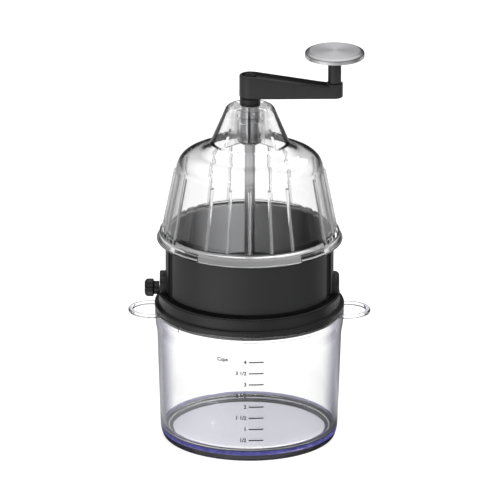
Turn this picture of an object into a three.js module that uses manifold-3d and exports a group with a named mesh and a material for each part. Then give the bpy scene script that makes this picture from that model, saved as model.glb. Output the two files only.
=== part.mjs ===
// A hand-cranked vegetable spiral cutter that stands on its own measuring bowl.
// Millimetres, +Z up, origin at the centre of the bowl's foot. The front panel faces -Y and the
// selector knob is on the -X side. At rest the crank is fully down, with its arm along +X.

import * as THREE from "three";
import { mergeVertices } from "three/addons/utils/BufferGeometryUtils.js";
import Module from "manifold-3d";

const wasm = await Module();
wasm.setup();

// Clearances, shared by all pieces
const fitGap = 0.3; // between pieces that seat on or in each other
const runGap = 0.3; // around what turns or slides
const overrun = 6; // how far a cutting shape passes what it cuts
const halfTurn = 180; // degrees
const mergeDistance = 1e-4; // points nearer than this are one
const weldShare = 0.5; // how deep a rib or lug enters its wall, as a share of the wall

// Facets of round forms
const largeSides = 36;
const smallSides = 20;
const tinySides = 8;
const edgeSteps = 1; // steps of a small rounded edge
const roundSteps = 3; // steps of a larger round

// Bowl
const bowlHeight = 100.7;
const bowlBaseRadius = 67;
const bowlWall = 3;
const bowlFloor = 3;
const bowlFloorTop = 7.6;
const floorFillet = 4;
const footRadius = 65;
const footRise = 6;
const footCurveStart = -60; // degrees, below level
const footWidth = 5;
const rimBandRadius = 71;
const rimBandRaise = 1.4; // over the wall below it
const rimBandHeight = 10.5;
const rimBandTaper = 8;
const earReach = 91.5;
const earRoot = 14.1; // from the rim band inwards, before the ring is cut at the wall
const earBand = 3.8;
const earThickness = 2.8;
const earDrop = 1.2;
const earEdge = 0.7;

// Collar that caps the bowl
const flangeRadius = 71.6;
const flangeHeight = 4.4;
const collarRadius = 68.9;
const collarTopRadius = 68.4;
const collarHeight = 13.3;
const collarEdge = 0.8;
const collarSkirtDepth = 3.5;
const collarSkirtWall = 2;
const collarLedge = 2;
const collarLedgeWidth = 4;
const ledgeDrop = 0.4; // ledge top below the flange top

// Cutter housing
const housingRadius = 62.4;
const panelRaise = 1;
const housingWall = 2.6;
const housingHeight = 56.2;
const panelBottomRise = 10.4;
const housingEdge = 0.7;
const plateLedge = 2;
const plateLedgeWidth = 3.3;
const plateLedgeRise = 11.5;
const panelHalfAngle = 66.5;
const grooveAngle = 5.5;
const grooveHeight = 38.6;
const bossRadius = 9;
const bossStretch = 4.3;
const bossReach = 67.8;
const bossInset = 61.3;
const leftBossBevel = 1.2;
const rightBossBevel = 3.4;

// Blade plate and blade
const plateThickness = 2.4;
const slotInner = 8;
const slotOuter = 53;
const slotHalfWidth = 6.5;
const padHeight = 1.2;
const padWidth = 8;
const padMargin = 3;
const plateRibDepth = 1.6;
const plateRibWidth = 1.8;
const plateRibReach = 56.5;
const plateRibAngles = [45, 90, 270, 315];
const bladeThickness = 0.8;
const bladeEdgeY = 2.5;
const bladeBevel = 3;
const bladeMargin = 2;
const screwRadius = 1.3;
const screwLength = 3.6;
const screwHeadRadius = 2.7;
const screwHeadHeight = 1.3;
const screwInset = 6;

// Coring tube
const coreRadius = 5;
const coreWall = 0.6;
const coreBevel = 1.2; // height of the sharpened rim
const coreRise = 6.2;
const coreDrop = 1.2;
const coreFlangeRadius = 6.5;
const coreFlangeThickness = 0.6;

// Selector: drum, combs, shaft and knob, all on one axis along X
const selectorHeight = 115.6;
const drumRadius = 4.4;
const drumClear = 0.6;
const combTip = 7;
const combRoot = 3.2;
const combSpine = 1;
const combThickness = 1;
const toothWidth = 1.2;
const finePitch = 3;
const mediumPitch = 5.4;
const widePitch = 9;
const selectorShaftRadius = 1.6;
const selectorShaftLeft = 76;
const selectorShaftRight = 65.6;
const bearingRadius = 4;
const bearingFlangeInset = 61.2;
const bearingRightEnd = 65.8;
const bearingLeftEnd = 67.4;
const blindBoreEnd = 66.2;
const knobNeckRadius = 5.05;
const knobNeckLength = 4.2;
const knobHeadRadius = 6.75;
const knobHeadLength = 6.9;
const knobCrown = 1.6;
const knobFlutes = 8;
const knobFluteRadius = 1.5;
const knobFluteDepth = 0.7;
const selectorCapRadius = 2.4;
const selectorCapThickness = 1.2;
const selectorCapSink = 0.4; // below the knob's face
const detentRadius = 3.1;
const detentNotch = 0.8;
const detentLength = 4;
const detentX = 42;
const springThickness = 0.5;
const springDrop = 5.6;
const springFoot = 8;

// Dome lid
const lidFlangeThickness = 1.8;
const lidFlangeRadius = 70;
const lidSkirtDepth = 5.5;
const lidSkirtWall = 2;
const lidEdge = 0.8;
const domeWall = 2.4;
const domeBaseRadius = 64.4;
const shoulderRadius = 54.5;
const shoulderHeight = 213.6;
const shoulderWidth = 19.7;
const shoulderRise = 11.6;
const shoulderSweep = 84;
const shoulderSteps = 6;
const neckFootRadius = 30.3;
const neckFootHeight = 230.5;
const neckTopRadius = 18;
const neckTopHeight = 260.6;
const neckCeiling = 7.6; // thickness of the top over the hollow of the neck
const neckEdge = 1.4;
const neckLean = 25; // degrees that the neck's wall leans
const sleeveRadius = 9.3;
const sleeveWall = 2.4;
const sleeveBottom = 232.9;
const webThickness = 1.6;
const webAngles = [45, 135, 225, 315];
const ribProud = 1.9;
const ribWidth = 2.2;
const ribTop = 211.5;
const ribPitch = 15;
const ribGapEvery = 6; // of these places one is left free for a bayonet lug
const lugCount = 4;
const lidLugHalfAngle = 10;
const lidLugHeight = 2;
const lidLugInner = 64.6;
const housingLugHalfAngle = 8;
const housingLugHeight = 2;
const housingLugOuter = 67.3;
const housingLugDrop = 1.2; // below the lid's flange
const lugTurn = 25; // from a lug of the lid to the next lug of the housing

// Shaft bush in the sleeve
const bushFlangeRadius = 7.6;
const bushFlangeThickness = 0.9;
const bushLip = 0.6; // below the ring's groove
const bushGroove = 0.8;
const clipThickness = 0.9;
const clipRadius = 8;

// Crank
const shaftRadius = 3.9;
const shaftFlat = 3.3;
const shaftBottom = 129.6;
const hubCollarRadius = 7.8;
const hubCollarBottom = 262.1;
const hubCollarHeight = 6.6;
const hubCollarEdge = 0.8;
const armHubRadius = 8.2;
const armEndRadius = 6.3;
const armLength = 63.3;
const armHubHeight = 16.3;
const armEndHeight = 10;
const armCorner = 2.6;
const armFlat = 8;
const capRadius = 5.4;
const capThickness = 1.5;
const capProud = 0.3;
const shaftCover = 1;
const axleRadius = 2;
const axleHeadRadius = 3.4;
const axleHeadHeight = 1.6;
const axleSink = 0.4;

// Food holder on the shaft's lower end
const holderRadius = 17;
const holderThickness = 2.6;
const holderBottom = 131.6;
const holderEdge = 0.8;
const spikePlateThickness = 0.6;
const spikePlateInner = 8;
const spikePlateOuter = 14;
const spikeCircle = 11;
const spikeCount = 6;
const spikeRadius = 1.2;
const spikeTipRadius = 0.25;
const spikeLength = 5.2;
const shaftClipRadius = 5.6;
const shaftClipThickness = 2;

// Turning knob
const stemRadius = 5;
const stemFlare = 1.6;
const knobRadius = 22.4;
const knobTop = 303.7;
const knobSide = 4;
const knobSheet = 1;
const knobBaseThickness = 2.2;
const knobRimEdge = 0.9;
const axleTopGap = 0.4;
const axleEndShare = 0.5; // where the pin ends in the knob's disc, as a share of its thickness

// Finishes
const clear = (colour) =>
  new THREE.MeshStandardMaterial({
    color: colour,
    roughness: 0.06,
    metalness: 0,
    transparent: true,
    opacity: 0.35,
  });
const plastic = (colour, roughness) =>
  new THREE.MeshStandardMaterial({ color: colour, roughness: roughness, metalness: 0 });
const steel = (roughness) =>
  new THREE.MeshStandardMaterial({ color: 0xc4c6c8, roughness: roughness, metalness: 1 });

const radians = THREE.MathUtils.degToRad;

// Solids

// A closed geometry as a solid that can be cut and joined.
function solidOf(geometry) {
  const bare = geometry.index ? geometry.toNonIndexed() : geometry.clone();
  bare.deleteAttribute("normal");
  bare.deleteAttribute("uv");
  const merged = mergeVertices(bare, mergeDistance);
  return new wasm.Manifold(
    new wasm.Mesh({
      numProp: 3,
      vertProperties: merged.attributes.position.array,
      triVerts: new Uint32Array(merged.index.array),
    }),
  );
}

// A solid back as a geometry with flat-shaded normals.
function geometryOf(solid) {
  const mesh = solid.getMesh();
  const geometry = new THREE.BufferGeometry();
  geometry.setAttribute("position", new THREE.BufferAttribute(mesh.vertProperties, mesh.numProp));
  geometry.setIndex(new THREE.BufferAttribute(mesh.triVerts, 1));
  const flat = geometry.toNonIndexed();
  flat.computeVertexNormals();
  return flat;
}

// A profile of [radius, height] points turned about Z. It starts and ends on the axis, or it is a ring.
function turned(profile, sides) {
  const points = profile.map(([radius, height]) => new THREE.Vector2(radius, height));
  const outline = THREE.ShapeUtils.area(points) > 0 ? points : points.reverse();
  const ends = [outline[0], outline[outline.length - 1]];
  const onAxis = ends.every((point) => point.x === 0);
  const loop = onAxis ? outline : [...outline, outline[0].clone()];
  return solidOf(new THREE.LatheGeometry(loop, sides).rotateX(Math.PI / 2));
}

// A flat outline raised along Z between two heights.
function raised(shape, bottom, top, sides) {
  const geometry = new THREE.ExtrudeGeometry(shape, {
    depth: top - bottom,
    bevelEnabled: false,
    curveSegments: sides,
  });
  return solidOf(geometry.translate(0, 0, bottom));
}

// An outline of [across, up] points in the XZ plane, as thick as given and centred on Y = 0.
function upright(outline, thickness) {
  const shape = new THREE.Shape(outline.map(([across, up]) => new THREE.Vector2(across, up)));
  const geometry = new THREE.ExtrudeGeometry(shape, { depth: thickness, bevelEnabled: false });
  return solidOf(geometry.translate(0, 0, -thickness / 2).rotateX(Math.PI / 2));
}

// A round bar or bore along Z.
function rod(radius, bottom, top, sides) {
  return solidOf(
    new THREE.CylinderGeometry(radius, radius, top - bottom, sides)
      .rotateX(Math.PI / 2)
      .translate(0, 0, (bottom + top) / 2),
  );
}

// A round bar or bore along X.
function crossRod(radius, from, to, sides) {
  return solidOf(
    new THREE.CylinderGeometry(radius, radius, to - from, sides)
      .rotateZ(Math.PI / 2)
      .translate((from + to) / 2, 0, 0),
  );
}

// A block between two corners.
function block(low, high) {
  return solidOf(
    new THREE.BoxGeometry(high[0] - low[0], high[1] - low[1], high[2] - low[2]).translate(
      (low[0] + high[0]) / 2,
      (low[1] + high[1]) / 2,
      (low[2] + high[2]) / 2,
    ),
  );
}

// A stretch of a ring, with its middle at an angle from the front, counted towards +X.
function sector(inner, outer, middle, halfAngle, bottom, top) {
  const from = radians(middle - halfAngle - 90);
  const to = radians(middle + halfAngle - 90);
  const shape = new THREE.Shape();
  shape.absarc(0, 0, outer, from, to, false);
  shape.absarc(0, 0, inner, to, from, true);
  return raised(shape, bottom, top, roundSteps);
}

// Outlines

// Points on part of an ellipse, from one angle to another in degrees.
function arc(centre, radii, from, to, steps) {
  return Array.from({ length: steps + 1 }, (_, i) => {
    const angle = radians(from + ((to - from) * i) / steps);
    return [centre[0] + radii[0] * Math.cos(angle), centre[1] + radii[1] * Math.sin(angle)];
  });
}

// A quarter round between the directions from and to, about a centre.
const corner = (centre, radius, from, to) => arc(centre, [radius, radius], from, to, edgeSteps);

// The same line moved to its left by a distance, point by point along the mean normal.
function inset(points, distance) {
  const normals = points.slice(1).map(([r, z], i) => {
    const [dr, dz] = [r - points[i][0], z - points[i][1]];
    const length = Math.hypot(dr, dz);
    return [-dz / length, dr / length];
  });
  return points.map(([r, z], i) => {
    const before = normals[Math.max(i - 1, 0)];
    const after = normals[Math.min(i, normals.length - 1)];
    const sum = [before[0] + after[0], before[1] + after[1]];
    const scale = (2 * distance) / (sum[0] ** 2 + sum[1] ** 2);
    return [r + sum[0] * scale, z + sum[1] * scale];
  });
}

// A circle with a flat at the front and the back, the section of the crank shaft.
function flatted(radius, flat) {
  const angle = Math.asin(flat / radius);
  const shape = new THREE.Shape();
  shape.absarc(0, 0, radius, -angle, angle, false);
  shape.absarc(0, 0, radius, Math.PI - angle, Math.PI + angle, false);
  return shape;
}

// A slot outline with round ends, its lower centre at the origin and its upper one above it.
function stadium(radius, stretch) {
  const shape = new THREE.Shape();
  shape.absarc(0, 0, radius, Math.PI, 2 * Math.PI, false);
  shape.absarc(0, stretch, radius, 0, Math.PI, false);
  return shape;
}

// Adds a named mesh to a group.
function add(group, name, solid, material) {
  const mesh = new THREE.Mesh(geometryOf(solid), material);
  mesh.name = name;
  group.add(mesh);
  return mesh;
}

// Sizes and heights that several pieces share
const bowlTopRadius = rimBandRadius - rimBandRaise;
const earRadius = (earReach - rimBandRadius + earRoot) / 2;
const collarBottom = bowlHeight + fitGap;
const flangeTop = collarBottom + flangeHeight;
const collarTop = collarBottom + collarHeight;
const ledgeTop = flangeTop - ledgeDrop;
const housingBottom = ledgeTop + fitGap;
const housingTop = housingBottom + housingHeight;
const panelBottom = housingBottom + panelBottomRise;
const panelRadius = housingRadius + panelRaise;
const chamberRadius = panelRadius - housingWall;
const plateLedgeTop = housingBottom + plateLedgeRise + plateLedge;
const plateBottom = plateLedgeTop + fitGap;
const plateTop = plateBottom + plateThickness;
const bladeBottom = plateTop + padHeight + fitGap;
const bladeTop = bladeBottom + bladeThickness;
const lidFlangeBottom = housingTop + fitGap;
const lidFlangeTop = lidFlangeBottom + lidFlangeThickness;
const lidSkirtBottom = lidFlangeBottom - lidSkirtDepth;
const lidSkirtInner = lidFlangeRadius - lidSkirtWall;
const armBottom = hubCollarBottom + hubCollarHeight + fitGap;
const armHubTop = armBottom + armHubHeight;
const armEndTop = armBottom + armEndHeight;
const capBottom = armHubTop + capProud - capThickness;
const shaftTop = capBottom - fitGap - shaftCover;
const lugAngles = Array.from({ length: lugCount }, (_, i) => (360 * (i + 0.5)) / lugCount);

// Bowl with its foot ring, flared rim band and two loop ears, as one moulding.
function bowl() {
  const bandBottom = bowlHeight - rimBandHeight;
  const taperBottom = bandBottom - rimBandTaper;
  const fillet = [bowlBaseRadius - bowlWall - floorFillet, bowlFloorTop + floorFillet];
  const outside = [
    [0, bowlFloorTop - bowlFloor],
    [footRadius - footWidth, bowlFloorTop - bowlFloor],
    [footRadius - footWidth, 0],
    [footRadius, 0],
    ...arc([footRadius, footRise], [bowlBaseRadius - footRadius, footRise], footCurveStart, 0, roundSteps),
    [bowlTopRadius, taperBottom],
    [rimBandRadius, bandBottom],
    [rimBandRadius, bowlHeight],
  ];
  const inside = [
    [rimBandRadius - bowlWall, bowlHeight],
    [rimBandRadius - bowlWall, bandBottom],
    [bowlTopRadius - bowlWall, taperBottom],
    ...arc(fillet, [floorFillet, floorFillet], 0, -90, roundSteps),
    [0, bowlFloorTop],
  ];
  const cup = turned([...outside, ...inside], largeSides);
  const heart = rod(rimBandRadius - bowlWall * weldShare, 0, bowlHeight, largeSides);
  const ears = [1, -1].map((side) => ear().subtract(heart).rotate([0, 0, side > 0 ? 0 : 180]));
  return cup.add(ears[0]).add(ears[1]);
}

// One loop ear on the +X side, a flat ring with rounded edges.
function ear() {
  const top = bowlHeight - earDrop;
  const bottom = top - earThickness;
  const inner = earRadius - earBand;
  const ring = [
    [inner, bottom + earEdge],
    [inner + earEdge, bottom],
    [earRadius - earEdge, bottom],
    [earRadius, bottom + earEdge],
    [earRadius, top - earEdge],
    [earRadius - earEdge, top],
    [inner + earEdge, top],
    [inner, top - earEdge],
  ];
  return turned(ring, smallSides).translate([earReach - earRadius, 0, 0]);
}

// Flange and collar over the bowl's rim, with a ledge inside for the housing and a notch for each boss.
function bowlCollar() {
  const skirtOuter = rimBandRadius - bowlWall - fitGap;
  const skirtInner = skirtOuter - collarSkirtWall;
  const skirtBottom = collarBottom - collarSkirtDepth;
  const seatRadius = housingRadius + fitGap;
  const ledgeRadius = seatRadius - collarLedgeWidth;
  const edge = collarEdge;
  const ring = turned(
    [
      [skirtInner, skirtBottom],
      [skirtOuter, skirtBottom],
      [skirtOuter, collarBottom],
      ...corner([flangeRadius - edge, collarBottom + edge], edge, 270, 360),
      ...corner([flangeRadius - edge, flangeTop - edge], edge, 0, 90),
      [collarRadius, flangeTop],
      ...corner([collarTopRadius - edge, collarTop - edge], edge, 0, 90),
      [seatRadius, collarTop],
      [seatRadius, ledgeTop],
      [ledgeRadius, ledgeTop],
      [ledgeRadius, ledgeTop - collarLedge],
      [skirtInner, ledgeTop - collarLedge],
    ],
    largeSides,
  );
  return [-1, 1].reduce(
    (body, side) => body.subtract(boss(side, bossRadius + fitGap, bossStretch + overrun, overrun, 0)),
    ring,
  );
}

// A slab with round ends on one side of the housing, round the selector's axis.
function boss(side, radius, stretch, extra, bevel) {
  const length = bossReach - bossInset + extra;
  const shape = stadium(radius - bevel, stretch);
  const geometry = new THREE.ExtrudeGeometry(shape, {
    depth: length - bevel,
    bevelEnabled: bevel > 0,
    bevelThickness: bevel,
    bevelSize: bevel,
    bevelSegments: roundSteps - 1,
    curveSegments: smallSides / 2,
  });
  const slab = solidOf(geometry.rotateX(Math.PI / 2).rotateZ(Math.PI / 2));
  const turn = side > 0 ? 0 : 180;
  return slab.translate([bossInset, 0, selectorHeight]).rotate([0, 0, turn]);
}

// Cylinder with raised panels, four grooves, two bosses, a ledge for the plate and bayonet lugs.
function cutterHousing() {
  const lowInner = housingRadius - housingWall;
  const ledgeBottom = plateLedgeTop - plateLedge;
  const edge = housingEdge;
  const shell = turned(
    [
      [lowInner, housingBottom],
      [housingRadius, housingBottom],
      [housingRadius, panelBottom],
      ...corner([panelRadius - edge, panelBottom + edge], edge, 270, 360),
      ...corner([panelRadius - edge, housingTop - edge], edge, 0, 90),
      [chamberRadius, housingTop],
      [chamberRadius, plateLedgeTop],
      [chamberRadius - plateLedgeWidth, plateLedgeTop],
      [chamberRadius - plateLedgeWidth, ledgeBottom],
      [lowInner, ledgeBottom],
    ],
    largeSides,
  );
  const grooveMiddle = panelHalfAngle + grooveAngle / 2;
  const grooveAngles = [1, -1].flatMap((side) => [side * grooveMiddle, halfTurn - side * grooveMiddle]);
  const grooves = grooveAngles.map((angle) =>
    sector(
      housingRadius,
      panelRadius + overrun,
      angle,
      grooveAngle / 2,
      panelBottom - overrun,
      panelBottom + grooveHeight,
    ),
  );
  const lugTop = lidFlangeBottom - housingLugDrop;
  const lugs = lugAngles.map((angle) =>
    sector(
      panelRadius - housingWall * weldShare,
      housingLugOuter,
      angle + lugTurn,
      housingLugHalfAngle,
      lugTop - housingLugHeight,
      lugTop,
    ),
  );
  const heart = rod(panelRadius - housingWall * weldShare, 0, housingTop, largeSides);
  const bosses = [
    boss(-1, bossRadius, bossStretch, 0, leftBossBevel),
    boss(1, bossRadius, bossStretch, 0, rightBossBevel),
  ].map((slab) => slab.subtract(heart));
  const boreRadius = bearingRadius + fitGap;
  const bores = [
    crossRod(boreRadius, -bossReach - overrun, -bearingFlangeInset + overrun, smallSides),
    crossRod(boreRadius, bearingFlangeInset - overrun, blindBoreEnd, smallSides),
  ].map((bore) => bore.translate([0, 0, selectorHeight]));
  const cut = grooves.reduce((body, groove) => body.subtract(groove), shell);
  const joined = [...lugs, ...bosses].reduce((body, piece) => body.add(piece), cut);
  return bores.reduce((body, bore) => body.subtract(bore), joined);
}

const screwPlaces = [-slotOuter + screwInset, -slotInner - screwInset];
const screwY = slotHalfWidth + padMargin + padWidth / 2;

// Floor of the food chamber with the blade's slot, its raised pad, the core hole and ribs underneath.
function bladePlate() {
  const disc = rod(chamberRadius - fitGap, plateBottom, plateTop, largeSides);
  const pad = block(
    [-slotOuter - padMargin, slotHalfWidth + padMargin, plateBottom],
    [-slotInner + padMargin, slotHalfWidth + padMargin + padWidth, plateTop + padHeight],
  );
  const ribs = plateRibAngles.map((angle) =>
    block(
      [coreFlangeRadius, -plateRibWidth / 2, plateBottom - plateRibDepth],
      [plateRibReach, plateRibWidth / 2, plateTop],
    ).rotate([0, 0, angle]),
  );
  const slot = block(
    [-slotOuter, -slotHalfWidth, plateBottom - overrun],
    [-slotInner, slotHalfWidth, plateTop + overrun],
  );
  const coreHole = rod(coreRadius + fitGap, plateBottom - overrun, plateTop + overrun, smallSides);
  const screwHoles = screwPlaces.map((x) =>
    rod(screwRadius + fitGap, plateBottom - overrun, bladeTop, smallSides / 2).translate([x, screwY, 0]),
  );
  const joined = [pad, ...ribs].reduce((body, piece) => body.add(piece), disc);
  return [slot, coreHole, ...screwHoles].reduce((body, tool) => body.subtract(tool), joined);
}

// Straight blade over the slot, with its bevelled edge towards -Y.
function mainBlade() {
  const back = slotHalfWidth + padMargin + padWidth;
  const from = -slotOuter - bladeMargin;
  const to = -slotInner + bladeMargin;
  const section = [
    [bladeEdgeY, bladeBottom],
    [back, bladeBottom],
    [back, bladeTop],
    [bladeEdgeY + bladeBevel, bladeTop],
  ];
  const bar = upright(section, to - from).rotate([0, 0, 90]);
  const blade = bar.translate([(from + to) / 2, 0, 0]);
  const hole = rod(screwRadius + fitGap, bladeBottom - overrun, bladeTop + overrun, smallSides / 2);
  const holes = screwPlaces.map((x) => hole.translate([x, screwY, 0]));
  return holes.reduce((body, tool) => body.subtract(tool), blade);
}

// Pan-head screw that holds the blade on its pad.
function bladeScrew(x) {
  const seat = bladeTop + fitGap;
  const halfHead = screwHeadHeight / 2;
  const crown = arc([0, seat + halfHead], [screwHeadRadius, halfHead], 0, 90, roundSteps);
  const profile = [
    [0, seat - screwLength],
    [screwRadius, seat - screwLength],
    [screwRadius, seat],
    [screwHeadRadius, seat],
    ...crown.slice(0, -1),
    [0, seat + screwHeadHeight],
  ];
  return turned(profile, smallSides / 2).translate([x, screwY, 0]);
}

// Steel tube that cuts out the core, with a sharpened top and a flange on the plate.
function coringTube() {
  const bottom = plateBottom - coreDrop;
  const top = plateTop + coreRise;
  const seat = plateTop + fitGap;
  return turned(
    [
      [coreRadius - coreWall, bottom],
      [coreRadius, bottom],
      [coreRadius, seat],
      [coreFlangeRadius, seat],
      [coreFlangeRadius, seat + coreFlangeThickness],
      [coreRadius, seat + coreFlangeThickness],
      [coreRadius, top - coreBevel],
      [coreRadius - coreWall, top],
    ],
    smallSides,
  );
}

// Bush that carries the selector's shaft in a boss.
function drumBearing(side, end) {
  const outer = crossRod(bearingRadius, bearingFlangeInset, end, smallSides);
  const boreRadius = selectorShaftRadius + runGap;
  const bore = crossRod(boreRadius, bearingFlangeInset - overrun, end + overrun, smallSides);
  const turn = side > 0 ? 0 : 180;
  return outer.subtract(bore).translate([0, 0, selectorHeight]).rotate([0, 0, turn]);
}

// Bent leaf that clicks against the notched wheel on the shaft.
function detentSpring() {
  const near = detentRadius + runGap;
  const top = plateBottom - fitGap;
  const outline = [
    [near, top - springDrop],
    [near + springThickness, top - springDrop],
    [near + springThickness, top - springThickness],
    [near + springFoot, top - springThickness],
    [near + springFoot, top],
    [near, top],
  ];
  return upright(outline, detentLength).rotate([0, 0, 90]).translate([detentX, 0, 0]);
}

// The selector's own pieces are drawn round an axis along X through the origin.

const drumFrom = -slotOuter + drumClear;
const drumTo = -slotInner - drumClear;
const combTurns = { comb_fine: 0, comb_medium: 270, comb_wide: 180 };

// Drum with three long grooves for the combs. Its fourth side is bare.
function combDrum() {
  const bar = crossRod(drumRadius, drumFrom, drumTo, smallSides);
  const bore = crossRod(selectorShaftRadius + fitGap, drumFrom - overrun, drumTo + overrun, smallSides);
  const half = combThickness / 2 + fitGap;
  const grooves = Object.values(combTurns).map((turn) =>
    block(
      [drumFrom - overrun, combRoot - fitGap, -half],
      [drumTo + overrun, drumRadius + overrun, half],
    ).rotate([turn, 0, 0]),
  );
  return [bore, ...grooves].reduce((body, tool) => body.subtract(tool), bar);
}

// Strip with a row of pointed teeth. It is drawn pointing to +Y and turned round the drum.
function comb(pitch, turn) {
  const length = drumTo - drumFrom;
  const teeth = Math.floor((length - toothWidth) / pitch) + 1;
  const margin = (length - (teeth - 1) * pitch) / 2;
  const shoulder = combRoot + combSpine;
  const outline = [[drumFrom, combRoot], [drumFrom, shoulder]];
  for (let i = 0; i < teeth; i += 1) {
    const middle = drumFrom + margin + i * pitch;
    outline.push([middle - toothWidth / 2, shoulder]);
    outline.push([middle - toothWidth / 2, combTip - toothWidth]);
    outline.push([middle, combTip]);
    outline.push([middle + toothWidth / 2, combTip - toothWidth]);
    outline.push([middle + toothWidth / 2, shoulder]);
  }
  outline.push([drumTo, shoulder], [drumTo, combRoot]);
  return upright(outline, combThickness).rotate([turn - 90, 0, 0]);
}

function selectorShaft() {
  return crossRod(selectorShaftRadius, -selectorShaftLeft, selectorShaftRight, smallSides);
}

// Small wheel with four notches, one for each setting.
function detentWheel() {
  const from = detentX - detentLength / 2;
  const to = detentX + detentLength / 2;
  const wheel = crossRod(detentRadius, from, to, smallSides);
  const bore = crossRod(selectorShaftRadius + fitGap, from - overrun, to + overrun, smallSides);
  const notches = [0, 90, 180, 270].map((turn) =>
    crossRod(detentNotch, from - overrun, to + overrun, tinySides)
      .translate([0, detentRadius, 0])
      .rotate([turn, 0, 0]),
  );
  return [bore, ...notches].reduce((body, tool) => body.subtract(tool), wheel);
}

// Fluted knob with a crowned face, a neck and a recess for its cap.
function selectorKnob() {
  const start = bossReach + runGap;
  const neckEnd = start + knobNeckLength;
  const face = neckEnd + knobHeadLength;
  const recess = face - selectorCapSink - selectorCapThickness - fitGap;
  const edge = arc([0, face - knobCrown], [knobHeadRadius, knobCrown], 0, 90, roundSteps).slice(0, -1);
  const body = turned(
    [
      [0, start],
      [knobNeckRadius, start],
      [knobNeckRadius, neckEnd],
      [knobHeadRadius, neckEnd],
      ...edge,
      [0, face],
    ],
    largeSides,
  );
  const flutes = Array.from({ length: knobFlutes }, (_, i) =>
    rod(knobFluteRadius, neckEnd - fitGap, face + overrun, smallSides / 2)
      .translate([knobHeadRadius + knobFluteRadius - knobFluteDepth, 0, 0])
      .rotate([0, 0, (360 * i) / knobFlutes]),
  );
  const bore = rod(selectorShaftRadius + fitGap, start - overrun, selectorShaftLeft + fitGap, smallSides);
  const capSeat = rod(selectorCapRadius + fitGap, recess, face + overrun, smallSides);
  const cut = [...flutes, bore, capSeat].reduce((knob, tool) => knob.subtract(tool), body);
  return cut.rotate([0, -90, 0]);
}

// Cap that hides the knob's screw.
function selectorCap() {
  const face = bossReach + runGap + knobNeckLength + knobHeadLength - selectorCapSink;
  return rod(selectorCapRadius, face - selectorCapThickness, face, smallSides).rotate([0, -90, 0]);
}

// The dome's outer line from the flange up to the neck's rim.
const shoulderEnd = arc(
  [shoulderRadius - shoulderWidth, shoulderHeight],
  [shoulderWidth, shoulderRise],
  0,
  shoulderSweep,
  shoulderSteps,
);
const neckCorner = [neckTopRadius - neckEdge, neckTopHeight - neckEdge];
const domeLine = [
  [domeBaseRadius, lidFlangeTop],
  ...shoulderEnd,
  [neckFootRadius, neckFootHeight],
  ...arc(neckCorner, [neckEdge, neckEdge], neckLean, 90, roundSteps - 1),
];

// Clear dome with its neck, guide sleeve, webs, ribs and flanged skirt with bayonet lugs.
function domeLid() {
  const sleeveBore = sleeveRadius - sleeveWall;
  const under = neckTopHeight - neckCeiling;
  const inner = inset(domeLine, domeWall).filter(([, z]) => z < under - domeWall / 2);
  inner[0] = [domeBaseRadius - domeWall, lidFlangeBottom];
  const neckInner = neckInnerRadius(under);
  const edge = lidEdge;
  const shell = turned(
    [
      [sleeveBore, sleeveBottom],
      [sleeveRadius, sleeveBottom],
      [sleeveRadius, under],
      [neckInner, under],
      ...[...inner].reverse(),
      [lidSkirtInner, lidFlangeBottom],
      [lidSkirtInner, lidSkirtBottom],
      [lidFlangeRadius, lidSkirtBottom],
      ...corner([lidFlangeRadius - edge, lidFlangeTop - edge], edge, 0, 90),
      ...domeLine,
      [sleeveBore, neckTopHeight],
    ],
    largeSides,
  );
  const weld = domeWall * weldShare;
  const webLow = sleeveBottom + fitGap;
  const webs = webAngles.map((angle) =>
    upright(
      [
        [sleeveRadius - weld, webLow],
        [neckInnerRadius(webLow) + weld, webLow],
        [neckInnerRadius(under) + weld, under + weld],
        [sleeveRadius - weld, under + weld],
      ],
      webThickness,
    ).rotate([0, 0, angle]),
  );
  const ribs = ribAngles().map((angle) =>
    upright(
      [
        [shellRadius(lidFlangeTop) - weld, lidFlangeTop - weld],
        [shellRadius(lidFlangeTop) + ribProud, lidFlangeTop - weld],
        [shellRadius(ribTop) + ribProud, ribTop],
        [shellRadius(ribTop) - weld, ribTop],
      ],
      ribWidth,
    ).rotate([0, 0, angle]),
  );
  const lugs = lugAngles.map((angle) =>
    sector(
      lidLugInner,
      lidSkirtInner + lidSkirtWall * weldShare,
      angle,
      lidLugHalfAngle,
      lidSkirtBottom,
      lidSkirtBottom + lidLugHeight,
    ),
  );
  return [...webs, ...ribs, ...lugs].reduce((body, piece) => body.add(piece), shell);
}

// Outer radius of the dome's straight wall at a height.
function shellRadius(height) {
  const share = (height - lidFlangeTop) / (shoulderHeight - lidFlangeTop);
  return domeBaseRadius + (shoulderRadius - domeBaseRadius) * share;
}

// Inner radius of the conical neck at a height.
function neckInnerRadius(height) {
  const slope = (neckTopRadius - neckFootRadius) / (neckTopHeight - neckFootHeight);
  const wallAcross = domeWall * Math.hypot(1, slope);
  return neckFootRadius + (height - neckFootHeight) * slope - wallAcross;
}

// Directions of the ribs, in degrees from +X: every place but those over a bayonet lug.
function ribAngles() {
  const places = Array.from({ length: 360 / ribPitch }, (_, i) => i);
  return places.filter((i) => i % ribGapEvery !== ribGapEvery / 2).map((i) => i * ribPitch);
}

const bushRadius = sleeveRadius - sleeveWall - runGap;
const clipBottom = sleeveBottom - fitGap - clipThickness;
const bushBottom = clipBottom - fitGap - bushLip;

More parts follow.
